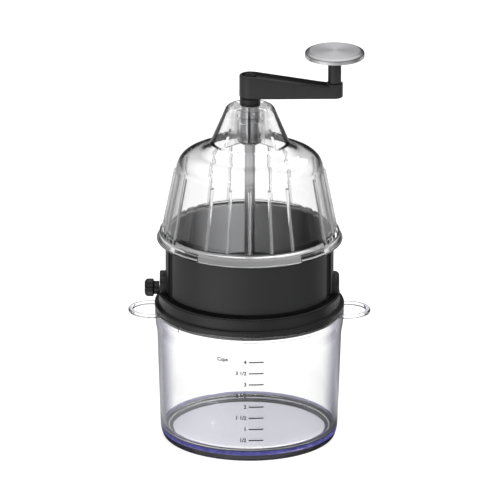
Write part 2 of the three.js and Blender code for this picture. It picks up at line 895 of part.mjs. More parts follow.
// Steel bush that turns in the sleeve. Its bore has two flats, so it turns with the shaft that slides through it.
function shaftBush() {
  const top = neckTopHeight + fitGap + bushFlangeThickness;
  const body = turned(
    [
      [0, bushBottom],
      [bushRadius, bushBottom],
      [bushRadius, clipBottom - fitGap],
      [bushRadius - bushGroove, clipBottom - fitGap],
      [bushRadius - bushGroove, clipBottom + clipThickness + fitGap],
      [bushRadius, clipBottom + clipThickness + fitGap],
      [bushRadius, neckTopHeight + fitGap],
      [bushFlangeRadius, neckTopHeight + fitGap],
      [bushFlangeRadius, top],
      [0, top],
    ],
    smallSides,
  );
  const boreShape = flatted(shaftRadius + runGap, shaftFlat + runGap);
  return body.subtract(raised(boreShape, bushBottom - overrun, top + overrun, smallSides / 2));
}

// Ring in the bush's groove that keeps the bush in the sleeve.
function bushClip() {
  const inner = bushRadius - bushGroove + fitGap;
  const [bottom, top] = [clipBottom, clipBottom + clipThickness];
  return turned([[inner, bottom], [clipRadius, bottom], [clipRadius, top], [inner, top]], smallSides);
}

// Polished steel shaft with two flats.
function crankShaft() {
  return raised(flatted(shaftRadius, shaftFlat), shaftBottom, shaftTop, smallSides / 2);
}

// Collar under the arm, round the shaft.
function hubCollar() {
  const inner = shaftRadius + fitGap;
  const top = hubCollarBottom + hubCollarHeight;
  const edge = hubCollarEdge;
  return turned(
    [
      [inner, hubCollarBottom],
      ...corner([hubCollarRadius - edge, hubCollarBottom + edge], edge, 270, 360),
      [hubCollarRadius, top],
      [inner, top],
    ],
    smallSides,
  );
}

// Tapered arm: its plan is two rounds joined by tangents, and its top slopes down to the knob's end.
function crankArm() {
  const tangent = Math.acos((armHubRadius - armEndRadius) / armLength);
  const plan = new THREE.Shape();
  plan.absarc(0, 0, armHubRadius, tangent, 2 * Math.PI - tangent, false);
  plan.absarc(armLength, 0, armEndRadius, -tangent, tangent, false);
  const end = armLength + armEndRadius;
  const right = end + overrun;
  const left = -armHubRadius - overrun;
  const side = [
    [left, armBottom],
    ...arc([end - armCorner, armBottom + armCorner], [armCorner, armCorner], 270, 360, roundSteps),
    [right, armBottom + armCorner],
    [right, armEndTop],
    [armLength - armEndRadius, armEndTop],
    [armFlat, armHubTop],
    [left, armHubTop],
  ];
  const bar = raised(plan, armBottom - overrun, armHubTop + overrun, smallSides / 2);
  const shaped = bar.intersect(upright(side, 2 * armHubRadius + overrun));
  const socketShape = flatted(shaftRadius + fitGap, shaftFlat + fitGap);
  const socket = raised(socketShape, armBottom - overrun, shaftTop + fitGap, smallSides / 2);
  const capSeat = rod(capRadius + fitGap, capBottom - fitGap, armHubTop + overrun, smallSides);
  const axleBore = rod(axleRadius + fitGap, armBottom - overrun, armEndTop + overrun, smallSides);
  const headTop = armBottom + axleSink + axleHeadHeight + fitGap;
  const headSeat = rod(axleHeadRadius + fitGap, armBottom - overrun, headTop, smallSides);
  const endTools = [axleBore, headSeat].map((tool) => tool.translate([armLength, 0, 0]));
  return [socket, capSeat, ...endTools].reduce((body, tool) => body.subtract(tool), shaped);
}

// Round cap over the end of the shaft.
function hubCap() {
  const top = capBottom + capThickness;
  return turned(
    [
      [0, capBottom],
      [capRadius, capBottom],
      ...corner([capRadius - capProud, top - capProud], capProud, 0, 90),
      [0, top],
    ],
    smallSides,
  );
}

// Disc that presses the vegetable down and turns it.
function foodHolder() {
  const top = holderBottom + holderThickness;
  const edge = holderEdge;
  const disc = turned(
    [
      [0, holderBottom],
      ...corner([holderRadius - edge, holderBottom + edge], edge, 270, 360),
      ...corner([holderRadius - edge, top - edge], edge, 0, 90),
      [0, top],
    ],
    smallSides,
  );
  const boreShape = flatted(shaftRadius + fitGap, shaftFlat + fitGap);
  return disc.subtract(raised(boreShape, holderBottom - overrun, top + overrun, smallSides / 2));
}

// Steel ring with spikes under the holder.
function holderSpikes() {
  const top = holderBottom - fitGap;
  const bottom = top - spikePlateThickness;
  const ring = turned(
    [[spikePlateInner, bottom], [spikePlateOuter, bottom], [spikePlateOuter, top], [spikePlateInner, top]],
    smallSides,
  );
  const length = spikeLength + spikePlateThickness / 2;
  const spikes = Array.from({ length: spikeCount }, (_, i) =>
    solidOf(
      new THREE.CylinderGeometry(spikeRadius, spikeTipRadius, length, tinySides)
        .rotateX(Math.PI / 2)
        .translate(spikeCircle, 0, top - spikePlateThickness / 2 - length / 2),
    ).rotate([0, 0, (360 * i) / spikeCount]),
  );
  return spikes.reduce((body, spike) => body.add(spike), ring);
}

// Ring on the shaft above the holder.
function shaftClip() {
  const inner = shaftRadius + fitGap;
  const bottom = holderBottom + holderThickness + fitGap;
  const top = bottom + shaftClipThickness;
  const outer = shaftClipRadius;
  return turned([[inner, bottom], [outer, bottom], [outer, top], [inner, top]], smallSides);
}

const knobSheetBottom = knobTop - knobSheet;
const knobBaseTop = knobSheetBottom - fitGap;
const knobBaseBottom = knobBaseTop - knobBaseThickness;
const axleTop = knobBaseTop - knobBaseThickness * axleEndShare - axleTopGap;

// Steel pin in the arm's end. The knob turns on it.
function knobAxle() {
  const bottom = armBottom + axleSink;
  return turned(
    [
      [0, bottom],
      [axleHeadRadius, bottom],
      [axleHeadRadius, bottom + axleHeadHeight],
      [axleRadius, bottom + axleHeadHeight],
      [axleRadius, axleTop],
      [0, axleTop],
    ],
    smallSides,
  );
}

// Turning post that widens into the disc under the steel cap.
function knobStem() {
  const bottom = armEndTop + runGap;
  const bore = axleRadius + runGap;
  const outer = knobRadius - knobSheet - fitGap;
  const flareCentre = [stemRadius + stemFlare, knobBaseBottom - stemFlare];
  const flare = arc(flareCentre, [stemFlare, stemFlare], 180, 90, roundSteps);
  return turned(
    [
      [bore, bottom],
      [stemRadius, bottom],
      ...flare,
      [outer, knobBaseBottom],
      [outer, knobBaseTop],
      [0, knobBaseTop],
      [0, axleTop + axleTopGap],
      [bore, axleTop + axleTopGap],
    ],
    largeSides,
  );
}

// Brushed steel cap: a shallow pan turned over the knob's disc.
function knobCap() {
  const inner = knobRadius - knobSheet;
  const bottom = knobTop - knobSide;
  const edge = knobRimEdge;
  return turned(
    [
      [0, knobSheetBottom],
      [inner, knobSheetBottom],
      [inner, bottom],
      [knobRadius, bottom],
      ...corner([knobRadius - edge, knobTop - edge], edge, 0, 90),
      [0, knobTop],
    ],
    largeSides,
  );
}

// The assembly. Each group moves as one piece.

const clearBowl = clear(0xdfe0f0);
const clearLid = clear(0xf2f4f5);
const blackSatin = plastic(0x2a2a2b, 0.42);
const blackGloss = plastic(0x1d1d1e, 0.25);
const blackArm = plastic(0x303031, 0.38);
const greyAcetal = plastic(0xb9babb, 0.45);
const polished = steel(0.18);
const brushed = steel(0.34);

const knob = new THREE.Group();
knob.position.x = armLength;
add(knob, "knob_stem", knobStem(), blackArm);
add(knob, "knob_cap", knobCap(), brushed);

const crank = new THREE.Group();
add(crank, "crank_shaft", crankShaft(), polished);
add(crank, "hub_collar", hubCollar(), blackGloss);
add(crank, "crank_arm", crankArm(), blackArm);
add(crank, "hub_cap", hubCap(), blackGloss);
add(crank, "food_holder", foodHolder(), blackSatin);
add(crank, "holder_spikes", holderSpikes(), polished);
add(crank, "shaft_clip", shaftClip(), blackSatin);
add(crank, "knob_axle", knobAxle(), polished).position.x = armLength;
crank.add(knob);

const drive = new THREE.Group();
add(drive, "shaft_bush", shaftBush(), polished);
add(drive, "bush_clip", bushClip(), greyAcetal);
drive.add(crank);

const lid = new THREE.Group();
add(lid, "dome_lid", domeLid(), clearLid);
lid.add(drive);

const selector = new THREE.Group();
selector.position.z = selectorHeight;
add(selector, "selector_shaft", selectorShaft(), polished);
add(selector, "comb_drum", combDrum(), greyAcetal);
add(selector, "comb_fine", comb(finePitch, combTurns.comb_fine), polished);
add(selector, "comb_medium", comb(mediumPitch, combTurns.comb_medium), polished);
add(selector, "comb_wide", comb(widePitch, combTurns.comb_wide), polished);
add(selector, "detent_wheel", detentWheel(), greyAcetal);
add(selector, "selector_knob", selectorKnob(), blackGloss);
add(selector, "selector_cap", selectorCap(), blackGloss);

const cutter = new THREE.Group();
add(cutter, "bowl_collar", bowlCollar(), blackGloss);
add(cutter, "cutter_housing", cutterHousing(), blackSatin);
add(cutter, "blade_plate", bladePlate(), blackSatin);
add(cutter, "main_blade", mainBlade(), polished);
add(cutter, "blade_screw_outer", bladeScrew(screwPlaces[0]), polished);
add(cutter, "blade_screw_inner", bladeScrew(screwPlaces[1]), polished);
add(cutter, "coring_tube", coringTube(), polished);
add(cutter, "drum_bearing_left", drumBearing(-1, bearingLeftEnd), greyAcetal);
add(cutter, "drum_bearing_right", drumBearing(1, bearingRightEnd), greyAcetal);
add(cutter, "detent_spring", detentSpring(), polished);
cutter.add(selector, lid);

const spiralCutter = new THREE.Group();
add(spiralCutter, "bowl", bowl(), clearBowl);
spiralCutter.add(cutter);

export default spiralCutter;
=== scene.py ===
import math
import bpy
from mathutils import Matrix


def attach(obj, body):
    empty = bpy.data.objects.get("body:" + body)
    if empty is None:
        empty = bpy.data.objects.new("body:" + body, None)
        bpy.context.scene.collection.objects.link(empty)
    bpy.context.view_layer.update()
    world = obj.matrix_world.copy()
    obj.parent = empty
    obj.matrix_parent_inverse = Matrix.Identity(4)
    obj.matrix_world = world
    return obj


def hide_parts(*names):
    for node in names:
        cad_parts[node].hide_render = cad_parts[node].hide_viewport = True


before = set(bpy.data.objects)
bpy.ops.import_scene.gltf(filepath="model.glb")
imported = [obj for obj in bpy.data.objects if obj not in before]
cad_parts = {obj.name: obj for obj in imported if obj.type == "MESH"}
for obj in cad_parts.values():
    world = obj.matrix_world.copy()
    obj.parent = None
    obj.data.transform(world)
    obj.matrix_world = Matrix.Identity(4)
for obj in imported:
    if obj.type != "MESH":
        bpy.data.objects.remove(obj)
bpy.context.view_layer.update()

from types import SimpleNamespace

import bmesh
import bpy
import numpy as np

# A hand-cranked vegetable spiral cutter on its measuring bowl: clear styrene mouldings, satin black
# ABS and bright steel. The frame gives every place, and the surfaces below finish what shows.

mm = 0.001
fullTurn = 2 * math.pi
quarterTurn = math.pi / 2
front = -quarterTurn  # the angle round Z that faces the camera
scene = bpy.context.scene
print("frame loaded:", len(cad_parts), "nodes")


def ringAngles(count):
    return np.linspace(0, fullTurn, count, endpoint=False)


def polar(radius, angles):
    return np.column_stack([radius * np.cos(angles), radius * np.sin(angles)])


def newObject(name, data):
    made = bpy.data.objects.new(name, data)
    scene.collection.objects.link(made)
    return made


# A property of every part of a mesh as one flat array.
def fetched(collection, name, kind, each=1):
    values = np.zeros(len(collection) * each, dtype=kind)
    collection.foreach_get(name, values)
    return values


def finishShading(mesh, sharpAngle=32):
    mesh.polygons.foreach_set("use_smooth", np.ones(len(mesh.polygons), dtype=bool))
    mesh.set_sharp_from_angle(angle=math.radians(sharpAngle))
    mesh.update()


# A mesh of quads from a grid of points in mm (rows, columns, xyz). Columns join up, and rows do where
# closeAlong says so. Doubled points become one, and faces turn outwards.
def gridMesh(name, points, closeAlong=False, sharpAngle=32):
    rows, across = points.shape[:2]
    index = np.arange(rows * across).reshape(rows, across)
    lower = index if closeAlong else index[:-1]
    upper = np.roll(index, -1, axis=0) if closeAlong else index[1:]
    quads = np.stack([lower, np.roll(lower, -1, axis=1), np.roll(upper, -1, axis=1), upper], axis=-1)
    mesh = bpy.data.meshes.new(name)
    mesh.vertices.add(rows * across)
    mesh.vertices.foreach_set("co", (points * mm).astype(np.float32).ravel())
    mesh.loops.add(quads.size)
    mesh.loops.foreach_set("vertex_index", quads.astype(np.int32).ravel())
    mesh.polygons.add(quads.size // 4)
    mesh.polygons.foreach_set("loop_start", np.arange(0, quads.size, 4, dtype=np.int32))
    mesh.update(calc_edges=True)
    mesh.validate()
    shell = bmesh.new()
    shell.from_mesh(mesh)
    bmesh.ops.remove_doubles(shell, verts=shell.verts, dist=1e-7)
    bmesh.ops.recalc_face_normals(shell, faces=shell.faces)
    shell.to_mesh(mesh)
    shell.free()
    finishShading(mesh, sharpAngle)
    return newObject(name, mesh)


# A line through corners given as (r, z) or (r, z, fillet). Each fillet is a quadratic curve that leaves
# the corner's two sides at the fillet's distance, or at under half of the shorter side.
def rounded(corners, closed=False, steps=5):
    given = np.array([(*corner, 0)[:3] for corner in corners], dtype=float)
    spot, fillet = given[:, :2], given[:, 2]
    before, after = np.roll(spot, 1, axis=0) - spot, np.roll(spot, -1, axis=0) - spot
    lengths = [np.linalg.norm(side, axis=1) for side in (before, after)]
    reach = np.minimum(fillet, np.minimum(*lengths) * 0.49)
    if not closed:
        reach[[0, -1]] = 0
    share = np.linspace(0, 1, steps + 1)[None, :, None]
    first, last = (spot + side / length[:, None].clip(1e-9) * reach[:, None]
                   for side, length in zip((before, after), lengths))
    left = 1 - share
    line = left ** 2 * first[:, None] + 2 * share * left * spot[:, None] + share ** 2 * last[:, None]
    line = line.reshape(-1, 2)
    keep = np.ones(len(line), dtype=bool)
    keep[1:] = np.linalg.norm(np.diff(line, axis=0), axis=1) > 1e-6
    return line[keep]


# The corners of a flat ring in section, with one fillet for its inner and one for its outer edges.
def ringCorners(inner, outer, low, high, inFillet, outFillet):
    return [(inner, low, inFillet), (outer, low, outFillet), (outer, high, outFillet), (inner, high, inFillet)]


# The same line with points added so that no stretch is longer than a length.
def spread(line, longest):
    span = np.linalg.norm(np.diff(line, axis=0), axis=1)
    parts = np.maximum(np.ceil(span / longest).astype(int), 1)
    start = np.repeat(np.arange(len(span)), parts)
    within = np.arange(len(start)) - np.repeat(np.cumsum(parts) - parts, parts)
    share = (within / np.repeat(parts, parts))[:, None]
    return np.vstack([line[start] * (1 - share) + line[start + 1] * share, line[-1:]])


# The same line with points added where it crosses some heights.
def withHeights(line, heights):
    for height in heights:
        start, end = line, np.roll(line, -1, axis=0)
        crossing = np.flatnonzero((start[:, 1] - height) * (end[:, 1] - height) < 0)
        share = ((height - start[crossing, 1]) / (end[crossing, 1] - start[crossing, 1]))[:, None]
        line = np.insert(line, crossing + 1, start[crossing] * (1 - share) + end[crossing] * share, axis=0)
    return line


# Carries a profile of (r, z) round a vertical axis: x = r cos a, y = r sin a. A shape function may change
# the grids of r, a and z. A profile that starts on the axis closes at two poles, any other on itself.
def revolve(name, profile, sides=128, centre=0, angles=None, shape=None, place=None):
    turn = ringAngles(sides) if angles is None else angles
    r, z = (np.repeat(profile[:, i:i + 1], len(turn), axis=1) for i in (0, 1))
    a = np.repeat(turn[None, :], len(profile), axis=0)
    if shape:
        r, a, z = shape(r, a, z)
    points = np.stack([centre + r * np.cos(a), r * np.sin(a), z], axis=-1)
    return gridMesh(name, place(points) if place else points, closeAlong=profile[0, 0] > 0)


def lathe(name, corners, longest=math.inf, heights=(), steps=5, **settings):
    line = rounded(corners, closed=corners[0][0] > 0, steps=steps)
    return revolve(name, spread(withHeights(line, heights), longest), **settings)


# A closed body from a flat outline: each level (inset, height) is a ring, the outline moved inwards by
# the inset along its normals. The first and last rings close to their mean.
def pillow(name, outline, levels, place=None, sharpAngle=32):
    edge = np.roll(outline, -1, axis=0) - np.roll(outline, 1, axis=0)
    normal = np.stack([edge[:, 1], -edge[:, 0]], axis=-1)
    normal /= np.linalg.norm(normal, axis=1)[:, None]
    rings = [np.column_stack([outline - normal * inset, np.full(len(outline), height)])
             for inset, height in levels]
    ends = [np.repeat(ring.mean(axis=0)[None], len(outline), axis=0) for ring in (rings[0], rings[-1])]
    points = np.stack([ends[0], *rings, ends[1]])
    return gridMesh(name, place(points) if place else points, sharpAngle=sharpAngle)


# Levels of a slab whose two edges are quarter rounds: inset = f (1 - sin t), height = f (1 - cos t).
def roundedLevels(bottom, top, fillet, steps):
    t = np.linspace(0, quarterTurn, steps + 1)
    low = np.column_stack([fillet * (1 - np.sin(t)), bottom + fillet * (1 - np.cos(t))])
    high = np.column_stack([low[::-1, 0], top + bottom - low[::-1, 1]])
    return np.vstack([low, high])


# An outline of two half circles with straight sides, and below it what makes it face left or right.
def keyhole(radius, low, high):
    turn = ringAngles(64)
    return polar(radius, turn) + np.column_stack([0 * turn, np.where(np.sin(turn) > 0, high, low)])


def outward(side):
    return lambda points: np.stack([side * points[..., 2], side * points[..., 0], points[..., 1]], axis=-1)


def evaluated(piece):
    return bpy.data.meshes.new_from_object(piece.evaluated_get(bpy.context.evaluated_depsgraph_get()))


def combine(piece, other, operation):
    change = piece.modifiers.new("combine", "BOOLEAN")
    change.object, change.operation, change.solver = other, operation, "MANIFOLD"
    bpy.context.view_layer.update()
    made = evaluated(piece)
    piece.modifiers.clear()
    piece.data = made
    finishShading(made)
    bpy.data.objects.remove(other)
    return piece


# Several closed shells as one mesh object.
def joined(parts):
    shell = bmesh.new()
    for part in parts:
        shell.from_mesh(part.data)
    shell.to_mesh(parts[0].data)
    shell.free()
    finishShading(parts[0].data)
    for part in parts[1:]:
        bpy.data.objects.remove(part)
    return parts[0]


# 1 inside centre plus or minus half, 0 outside, with a straight slope of width edge outside it.
def window(value, centre, half, edge):
    return np.clip(1 + (half - np.abs(value - centre)) / edge, 0, 1)


# The signed difference of two angles, from -pi to pi.
def between(angle, centre):
    return (angle - centre + math.pi) % fullTurn - math.pi


# The same windows round some angles.
def windows(angle, centres, half, edge):
    return sum(window(between(angle, centre), 0, half, edge) for centre in centres)


# The angles at some distances from each side of a centre.
def bothSides(centre, distances):
    return [centre + side * distance for side in (-1, 1) for distance in distances]


# Even angles, of which those too near to a wanted one give way to it.
def columns(count, wanted, nearest=0.6):
    even = np.linspace(-math.pi, math.pi, count, endpoint=False)
    wanted = between(np.array(wanted), 0)
    far = np.abs(between(even[:, None], wanted[None, :])).min(axis=1) > nearest * fullTurn / count
    return np.sort(np.concatenate([even[far], wanted]))


def dress(piece, body, slot, material, *nodes):
    piece.data.materials.clear()
    piece.data.materials.append(material)
    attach(piece, body)
    if nodes:
        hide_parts(*nodes)
    return piece


# Gives another material to the faces whose middles pass a test of their distance from the Z axis, their
# angle round it and their height, in mm and radians.
def finishPart(piece, material, test):
    faces = piece.data.polygons
    x, y, z = fetched(faces, "center", np.float32, 3).reshape(-1, 3).T / mm
    kept = fetched(faces, "material_index", np.int32)
    kept[test(np.hypot(x, y), np.arctan2(y, x), z)] = len(piece.data.materials)
    piece.data.materials.append(material)
    faces.foreach_set("material_index", kept)
    piece.data.update()


# Colours are sRGB hex values, and the shaders want them linear: ((c + 0.055) / 1.055) ^ 2.4.
def linear(hexCode):
    channels = [int(hexCode[i:i + 2], 16) / 255 for i in (1, 3, 5)]
    return tuple(c / 12.92 if c <= 0.04045 else ((c + 0.055) / 1.055) ** 2.4 for c in channels) + (1,)


# Adds a node with its settings and sockets. A socket that is given another node's output is linked to it,
# and one that is given a node is linked to its first output.
def node(tree, kind, inputs=None, **settings):
    made = tree.nodes.new(kind)
    for key, value in settings.items():
        setattr(made, key, value)
    for key, value in (inputs or {}).items():
        value = value.outputs[0] if isinstance(value, bpy.types.Node) else value
        if isinstance(value, bpy.types.NodeSocket):
            tree.links.new(value, made.inputs[key])
        else:
            made.inputs[key].default_value = value
    return made


def maths(tree, operation, *values):
    return node(tree, "ShaderNodeMath", dict(enumerate(values)), operation=operation)


def mixed(tree, share, first, second):
    return node(tree, "ShaderNodeMixShader", {0: share, 1: first, 2: second})


def mapped(tree, value, fromRange, toRange=(0, 1)):
    return node(tree, "ShaderNodeMapRange", {
        "Value": value, "From Min": fromRange[0], "From Max": fromRange[1],
        "To Min": toRange[0], "To Max": toRange[1],
    })


# A colour ramp with fixed stops: (place, grey or hex colour).
def ramp(tree, factor, stops):
    made = node(tree, "ShaderNodeValToRGB", {"Fac": factor})
    points = made.color_ramp.elements
    while len(points) < len(stops):
        points.new(0.5)
    for point, (place, colour) in zip(points, stops):
        point.position = place
        point.color = linear(colour) if isinstance(colour, str) else (colour, colour, colour, 1)
    return made


# A material whose nodes a function builds from a dictionary of values.
def newMaterial(name, build, values):
    made = bpy.data.materials.new(name)
    made.use_nodes = True
    made.node_tree.nodes.clear()
    surface = build(made.node_tree, SimpleNamespace(**values))
    node(made.node_tree, "ShaderNodeOutputMaterial", {"Surface": surface})
    return made


viewValues = {
    "distance": 8.0, "elevation": 19.3, "roll": 0.2, "aimX": 0.0003, "aimZ": 0.14575,
    "sensor": 36, "lens": 763.8,
}
v = SimpleNamespace(**viewValues)
camera = newObject("camera", bpy.data.cameras.new("camera"))
camera.data.sensor_width, camera.data.lens = v.sensor, v.lens
tilt = math.radians(v.elevation)
camera.location = (v.aimX, -v.distance * math.cos(tilt), v.aimZ + v.distance * math.sin(tilt))
camera.rotation_mode = "ZYX"  # the roll comes first, round the view's own axis
camera.rotation_euler = (quarterTurn - tilt, 0, math.radians(v.roll))
camera.data.clip_end = 100
scene.camera = camera
scene.view_settings.view_transform = "Standard"

# The studio: the camera sees a white sweep. Glass and steel see it too, with a dark band at eye level and
# soft light above it. Mirrored light is strongest from the left and weakest from behind.
worldValues = {
    "white": "#ffffff",
    "fill": 0.55,
    # degrees up, grey
    "bands": [(-12, 1.0), (-5, 0.1), (12, 0.08), (20, 0.6), (48, 0.7), (60, 0.8), (90, 1.0)],
    # degrees to the right, grey
    "sides": [
        (-180, 0.15), (-128, 0.55), (-105, 0.45), (-75, 0.5), (-55, 0.9), (-32, 0.9), (-12, 0.65), (4, 0.55),
        (14, 0.4), (58, 0.38), (75, 0.25), (98, 0.15), (125, 0.55), (150, 0.2), (180, 0.15),
    ],
    "above": (0.4, 0.6),  # sines of the heights between which the sides stop counting
}


# The share of its light that a mirror gets from a side, for a direction or a place on the floor. Light
# that only passes through glass keeps all of it, and so does light from high above.
def fromSide(tree, place, path, height=None):
    parts = node(tree, "ShaderNodeSeparateXYZ", {"Vector": place})
    turn = maths(tree, "ARCTAN2", parts.outputs["X"], maths(tree, "MULTIPLY", parts.outputs["Y"], -1.0))
    sides = ramp(tree, mapped(tree, turn, (-math.pi, math.pi)), [
        ((degrees + 180) / 360, grey) for degrees, grey in worldValues["sides"]
    ])
    if height:
        sides = maths(tree, "MAXIMUM", sides, mapped(tree, height, worldValues["above"]))
    mirrored = maths(tree, "MINIMUM", path.outputs["Glossy Depth"], 1.0)
    return maths(tree, "MULTIPLY_ADD", mirrored, maths(tree, "SUBTRACT", sides, 1.0), 1.0)


# Each lamp's place and size in metres and its watts. All look at one point.
lampValues = {
    "key lamp": ((-0.9, -1.1, 1.5), 0.9, 13.0),
    "side lamp": ((1.1, -0.9, 1.1), 0.7, 14.0),
    "back lamp": ((0.3, 1.3, 1.3), 0.9, 11.0),
}
lampAim = (0, 0, 0.15)
scene.world = bpy.data.worlds.new("studio")
scene.world.use_nodes = True
sky = scene.world.node_tree
sky.nodes.clear()
path = node(sky, "ShaderNodeLightPath")
direction = node(sky, "ShaderNodeTexCoord").outputs["Generated"]
height = node(sky, "ShaderNodeSeparateXYZ", {"Vector": direction}).outputs["Z"]
bands = ramp(sky, mapped(sky, height, (-1, 1)), [
    ((1 + math.sin(math.radians(degrees))) / 2, grey) for degrees, grey in worldValues["bands"]
])
through = maths(sky, "MAXIMUM", path.outputs["Is Transmission Ray"], path.outputs["Is Glossy Ray"])
white = linear(worldValues["white"])
lights = ((white, worldValues["fill"]), (bands, fromSide(sky, direction, path, height)), (white, 1.0))
dim, studio, plain = (node(sky, "ShaderNodeBackground", {"Color": colour, "Strength": strength})
                      for colour, strength in lights)
whole = mixed(sky, path.outputs["Is Camera Ray"], mixed(sky, through, dim, studio), plain)
node(sky, "ShaderNodeOutputWorld", {"Surface": whole})

for name, (place, size, watts) in lampValues.items():
    lamp = newObject(name, bpy.data.lights.new(name, "AREA"))
    lamp.data.shape, lamp.data.size, lamp.data.energy = "DISK", size, watts
    lamp.visible_glossy = False
    lamp.location = place
    x, y, z = np.array(lampAim) - place
    lamp.rotation_euler = (math.atan2(math.hypot(x, y), -z), 0, math.atan2(y, x) - quarterTurn)
print("camera, studio and lamps set")


sanIor, absIor = 1.57, 1.53


def noise(tree, place, size, detail=2.0):
    return node(tree, "ShaderNodeTexNoise", {"Vector": place, "Scale": 1 / (size * mm), "Detail": detail})


def objectPlace(tree):
    return node(tree, "ShaderNodeTexCoord").outputs["Object"]


def relief(tree, marks, v):
    return node(tree, "ShaderNodeBump", {
        "Height": marks, "Strength": v.bump, "Distance": v.depth * mm,
    })


# Roughness that wavers about its value with a noise.
def gloss(tree, marks, middle, swing):
    return mapped(tree, marks, (0, 1), (middle - swing, middle + swing))


def principled(tree, colour, roughness, **more):
    return node(tree, "ShaderNodeBsdfPrincipled", {"Base Color": colour, "Roughness": roughness} | more)


# Clear styrene-acrylonitrile, injection moulded in a polished tool. The faces look like water. Towards
# grazing view the colour follows the edges ramp, partly the plastic's faint colour over a longer path and
# partly painted shade and painted reflection, so every edge draws a dark line and the neck's outside a dark
# band with a pale rim. The coat has the plastic's own gloss, and the body bends light less, as thin even
# walls do. Shadow rays pass, so what is inside stays lit.
def clearStyrene(tree, v):
    facing = node(tree, "ShaderNodeLayerWeight", {"Blend": 0.5}).outputs["Facing"]
    # The edges ramp by facing is partly painted shade and painted reflection at grazing view.
    tintAndEdgeShade = ramp(tree, facing, [(0, v.face), *v.edges])
    rough = v.roughness
    shell = principled(tree, tintAndEdgeShade, rough, **{
        "IOR": v.ior, "Transmission Weight": 1.0, "Coat Weight": v.gloss, "Coat Roughness": rough,
        "Coat IOR": sanIor,
    })
    passing = node(tree, "ShaderNodeBsdfTransparent", {"Color": linear(v.shadow)})
    return mixed(tree, node(tree, "ShaderNodeLightPath").outputs["Is Shadow Ray"], shell, passing)


# The same plastic where the tool was etched: it scatters light and looks like pale grey frost. The same
# build also paints shade: painted refraction and painted shade at the bowl's foot, and painted shade on the
# lid flange's front.
def etchedStyrene(tree, v):
    grain = noise(tree, objectPlace(tree), v.grain)
    tone = ramp(tree, grain, [(0.3, v.low), (0.7, v.high)])
    frost = node(tree, "ShaderNodeBsdfDiffuse", {"Color": tone, "Roughness": 0.5})
    clear = principled(tree, linear("#ffffff"), v.roughness, IOR=v.ior, **{"Transmission Weight": 1.0})
    return mixed(tree, v.frost, clear, frost)


# Black ABS from a spark-eroded tool: a satin grain, drawn at 0.5 mm so that it shows, spreads the
# studio's light into soft bands, with faint flow marks a few centimetres long.
def satinAbs(tree, v):
    place = objectPlace(tree)
    grain = relief(tree, noise(tree, place, v.grain), v)
    rough = gloss(tree, noise(tree, place, v.flow), v.roughness, 0.05)
    return principled(tree, linear(v.colour), rough, IOR=absIor, Normal=grain)


# The chamber's wall: black plastic with fine marks running round it, and painted light in its colour: a
# painted sheen, pale grey where it is seen face on and black towards the sides, times a painted side light
# across X, lighter left of the middle and darker to the right and at both sides.
def paintedLightWall(tree, v):
    facing = node(tree, "ShaderNodeLayerWeight", {"Blend": 0.5}).outputs["Facing"]
    split = node(tree, "ShaderNodeSeparateXYZ", {"Vector": objectPlace(tree)})
    rings = node(tree, "ShaderNodeCombineXYZ", {"Z": split.outputs["Z"]})
    reach = v.reach * mm
    across = mapped(tree, split.outputs["X"], (-reach, reach))
    # sheen paints a sheen by facing, and worn paints side light across X over reach mm: lighter on the left,
    # darker to the right.
    worn = node(tree, "ShaderNodeVectorMath", {
        0: ramp(tree, facing, v.sheen), 1: ramp(tree, across, v.worn),
    }, operation="MULTIPLY")
    marks = relief(tree, noise(tree, rings, v.mark, 3.0), v)
    return principled(tree, worn, v.roughness, IOR=absIor, Normal=marks)


# Steel: grey-white metal with the marks of its last working, in rings round an axis or along a bar. On a
# disc they stretch the highlight across themselves, away from the axis.
def steel(tree, v):
    marks = node(tree, "ShaderNodeMapping", {"Vector": objectPlace(tree), "Location": (-v.centre * mm, 0, 0)})
    split = node(tree, "ShaderNodeSeparateXYZ", {"Vector": marks})
    square = node(tree, "ShaderNodeVectorMath", {0: marks, 1: (1, 1, 0)}, operation="MULTIPLY")
    radius = node(tree, "ShaderNodeVectorMath", {0: square}, operation="LENGTH").outputs["Value"]
    across = radius if v.rings else split.outputs["X"]
    along = node(tree, "ShaderNodeCombineXYZ", {"X": across, "Z": split.outputs["Z"]})
    scratch = noise(tree, along, v.pitch, 3.0)
    away = node(tree, "ShaderNodeVectorTransform", {"Vector": square},
                convert_from="OBJECT", convert_to="WORLD")
    rough = gloss(tree, scratch, v.roughness, 0.06)
    return principled(tree, linear(v.colour), rough, Metallic=1.0, Normal=relief(tree, scratch, v),
                      Anisotropic=v.stretch, Tangent=away)


# Grey acetal, turned and left as cut: waxy, neither dull nor bright. Pad-printed ink: flat, black and
# slightly duller than the plastic under it.
def plainPlastic(tree, v):
    rough = gloss(tree, noise(tree, objectPlace(tree), v.mottle), v.roughness, v.swing)
    return principled(tree, linear(v.colour), rough, IOR=v.ior)


# Makes one material for each row of a table, whose values go with the names of the columns.
def materialRows(build, family, columns, rows):
    return [newMaterial(family + name, build, dict(zip(columns.split(), row))) for name, row in rows.items()]


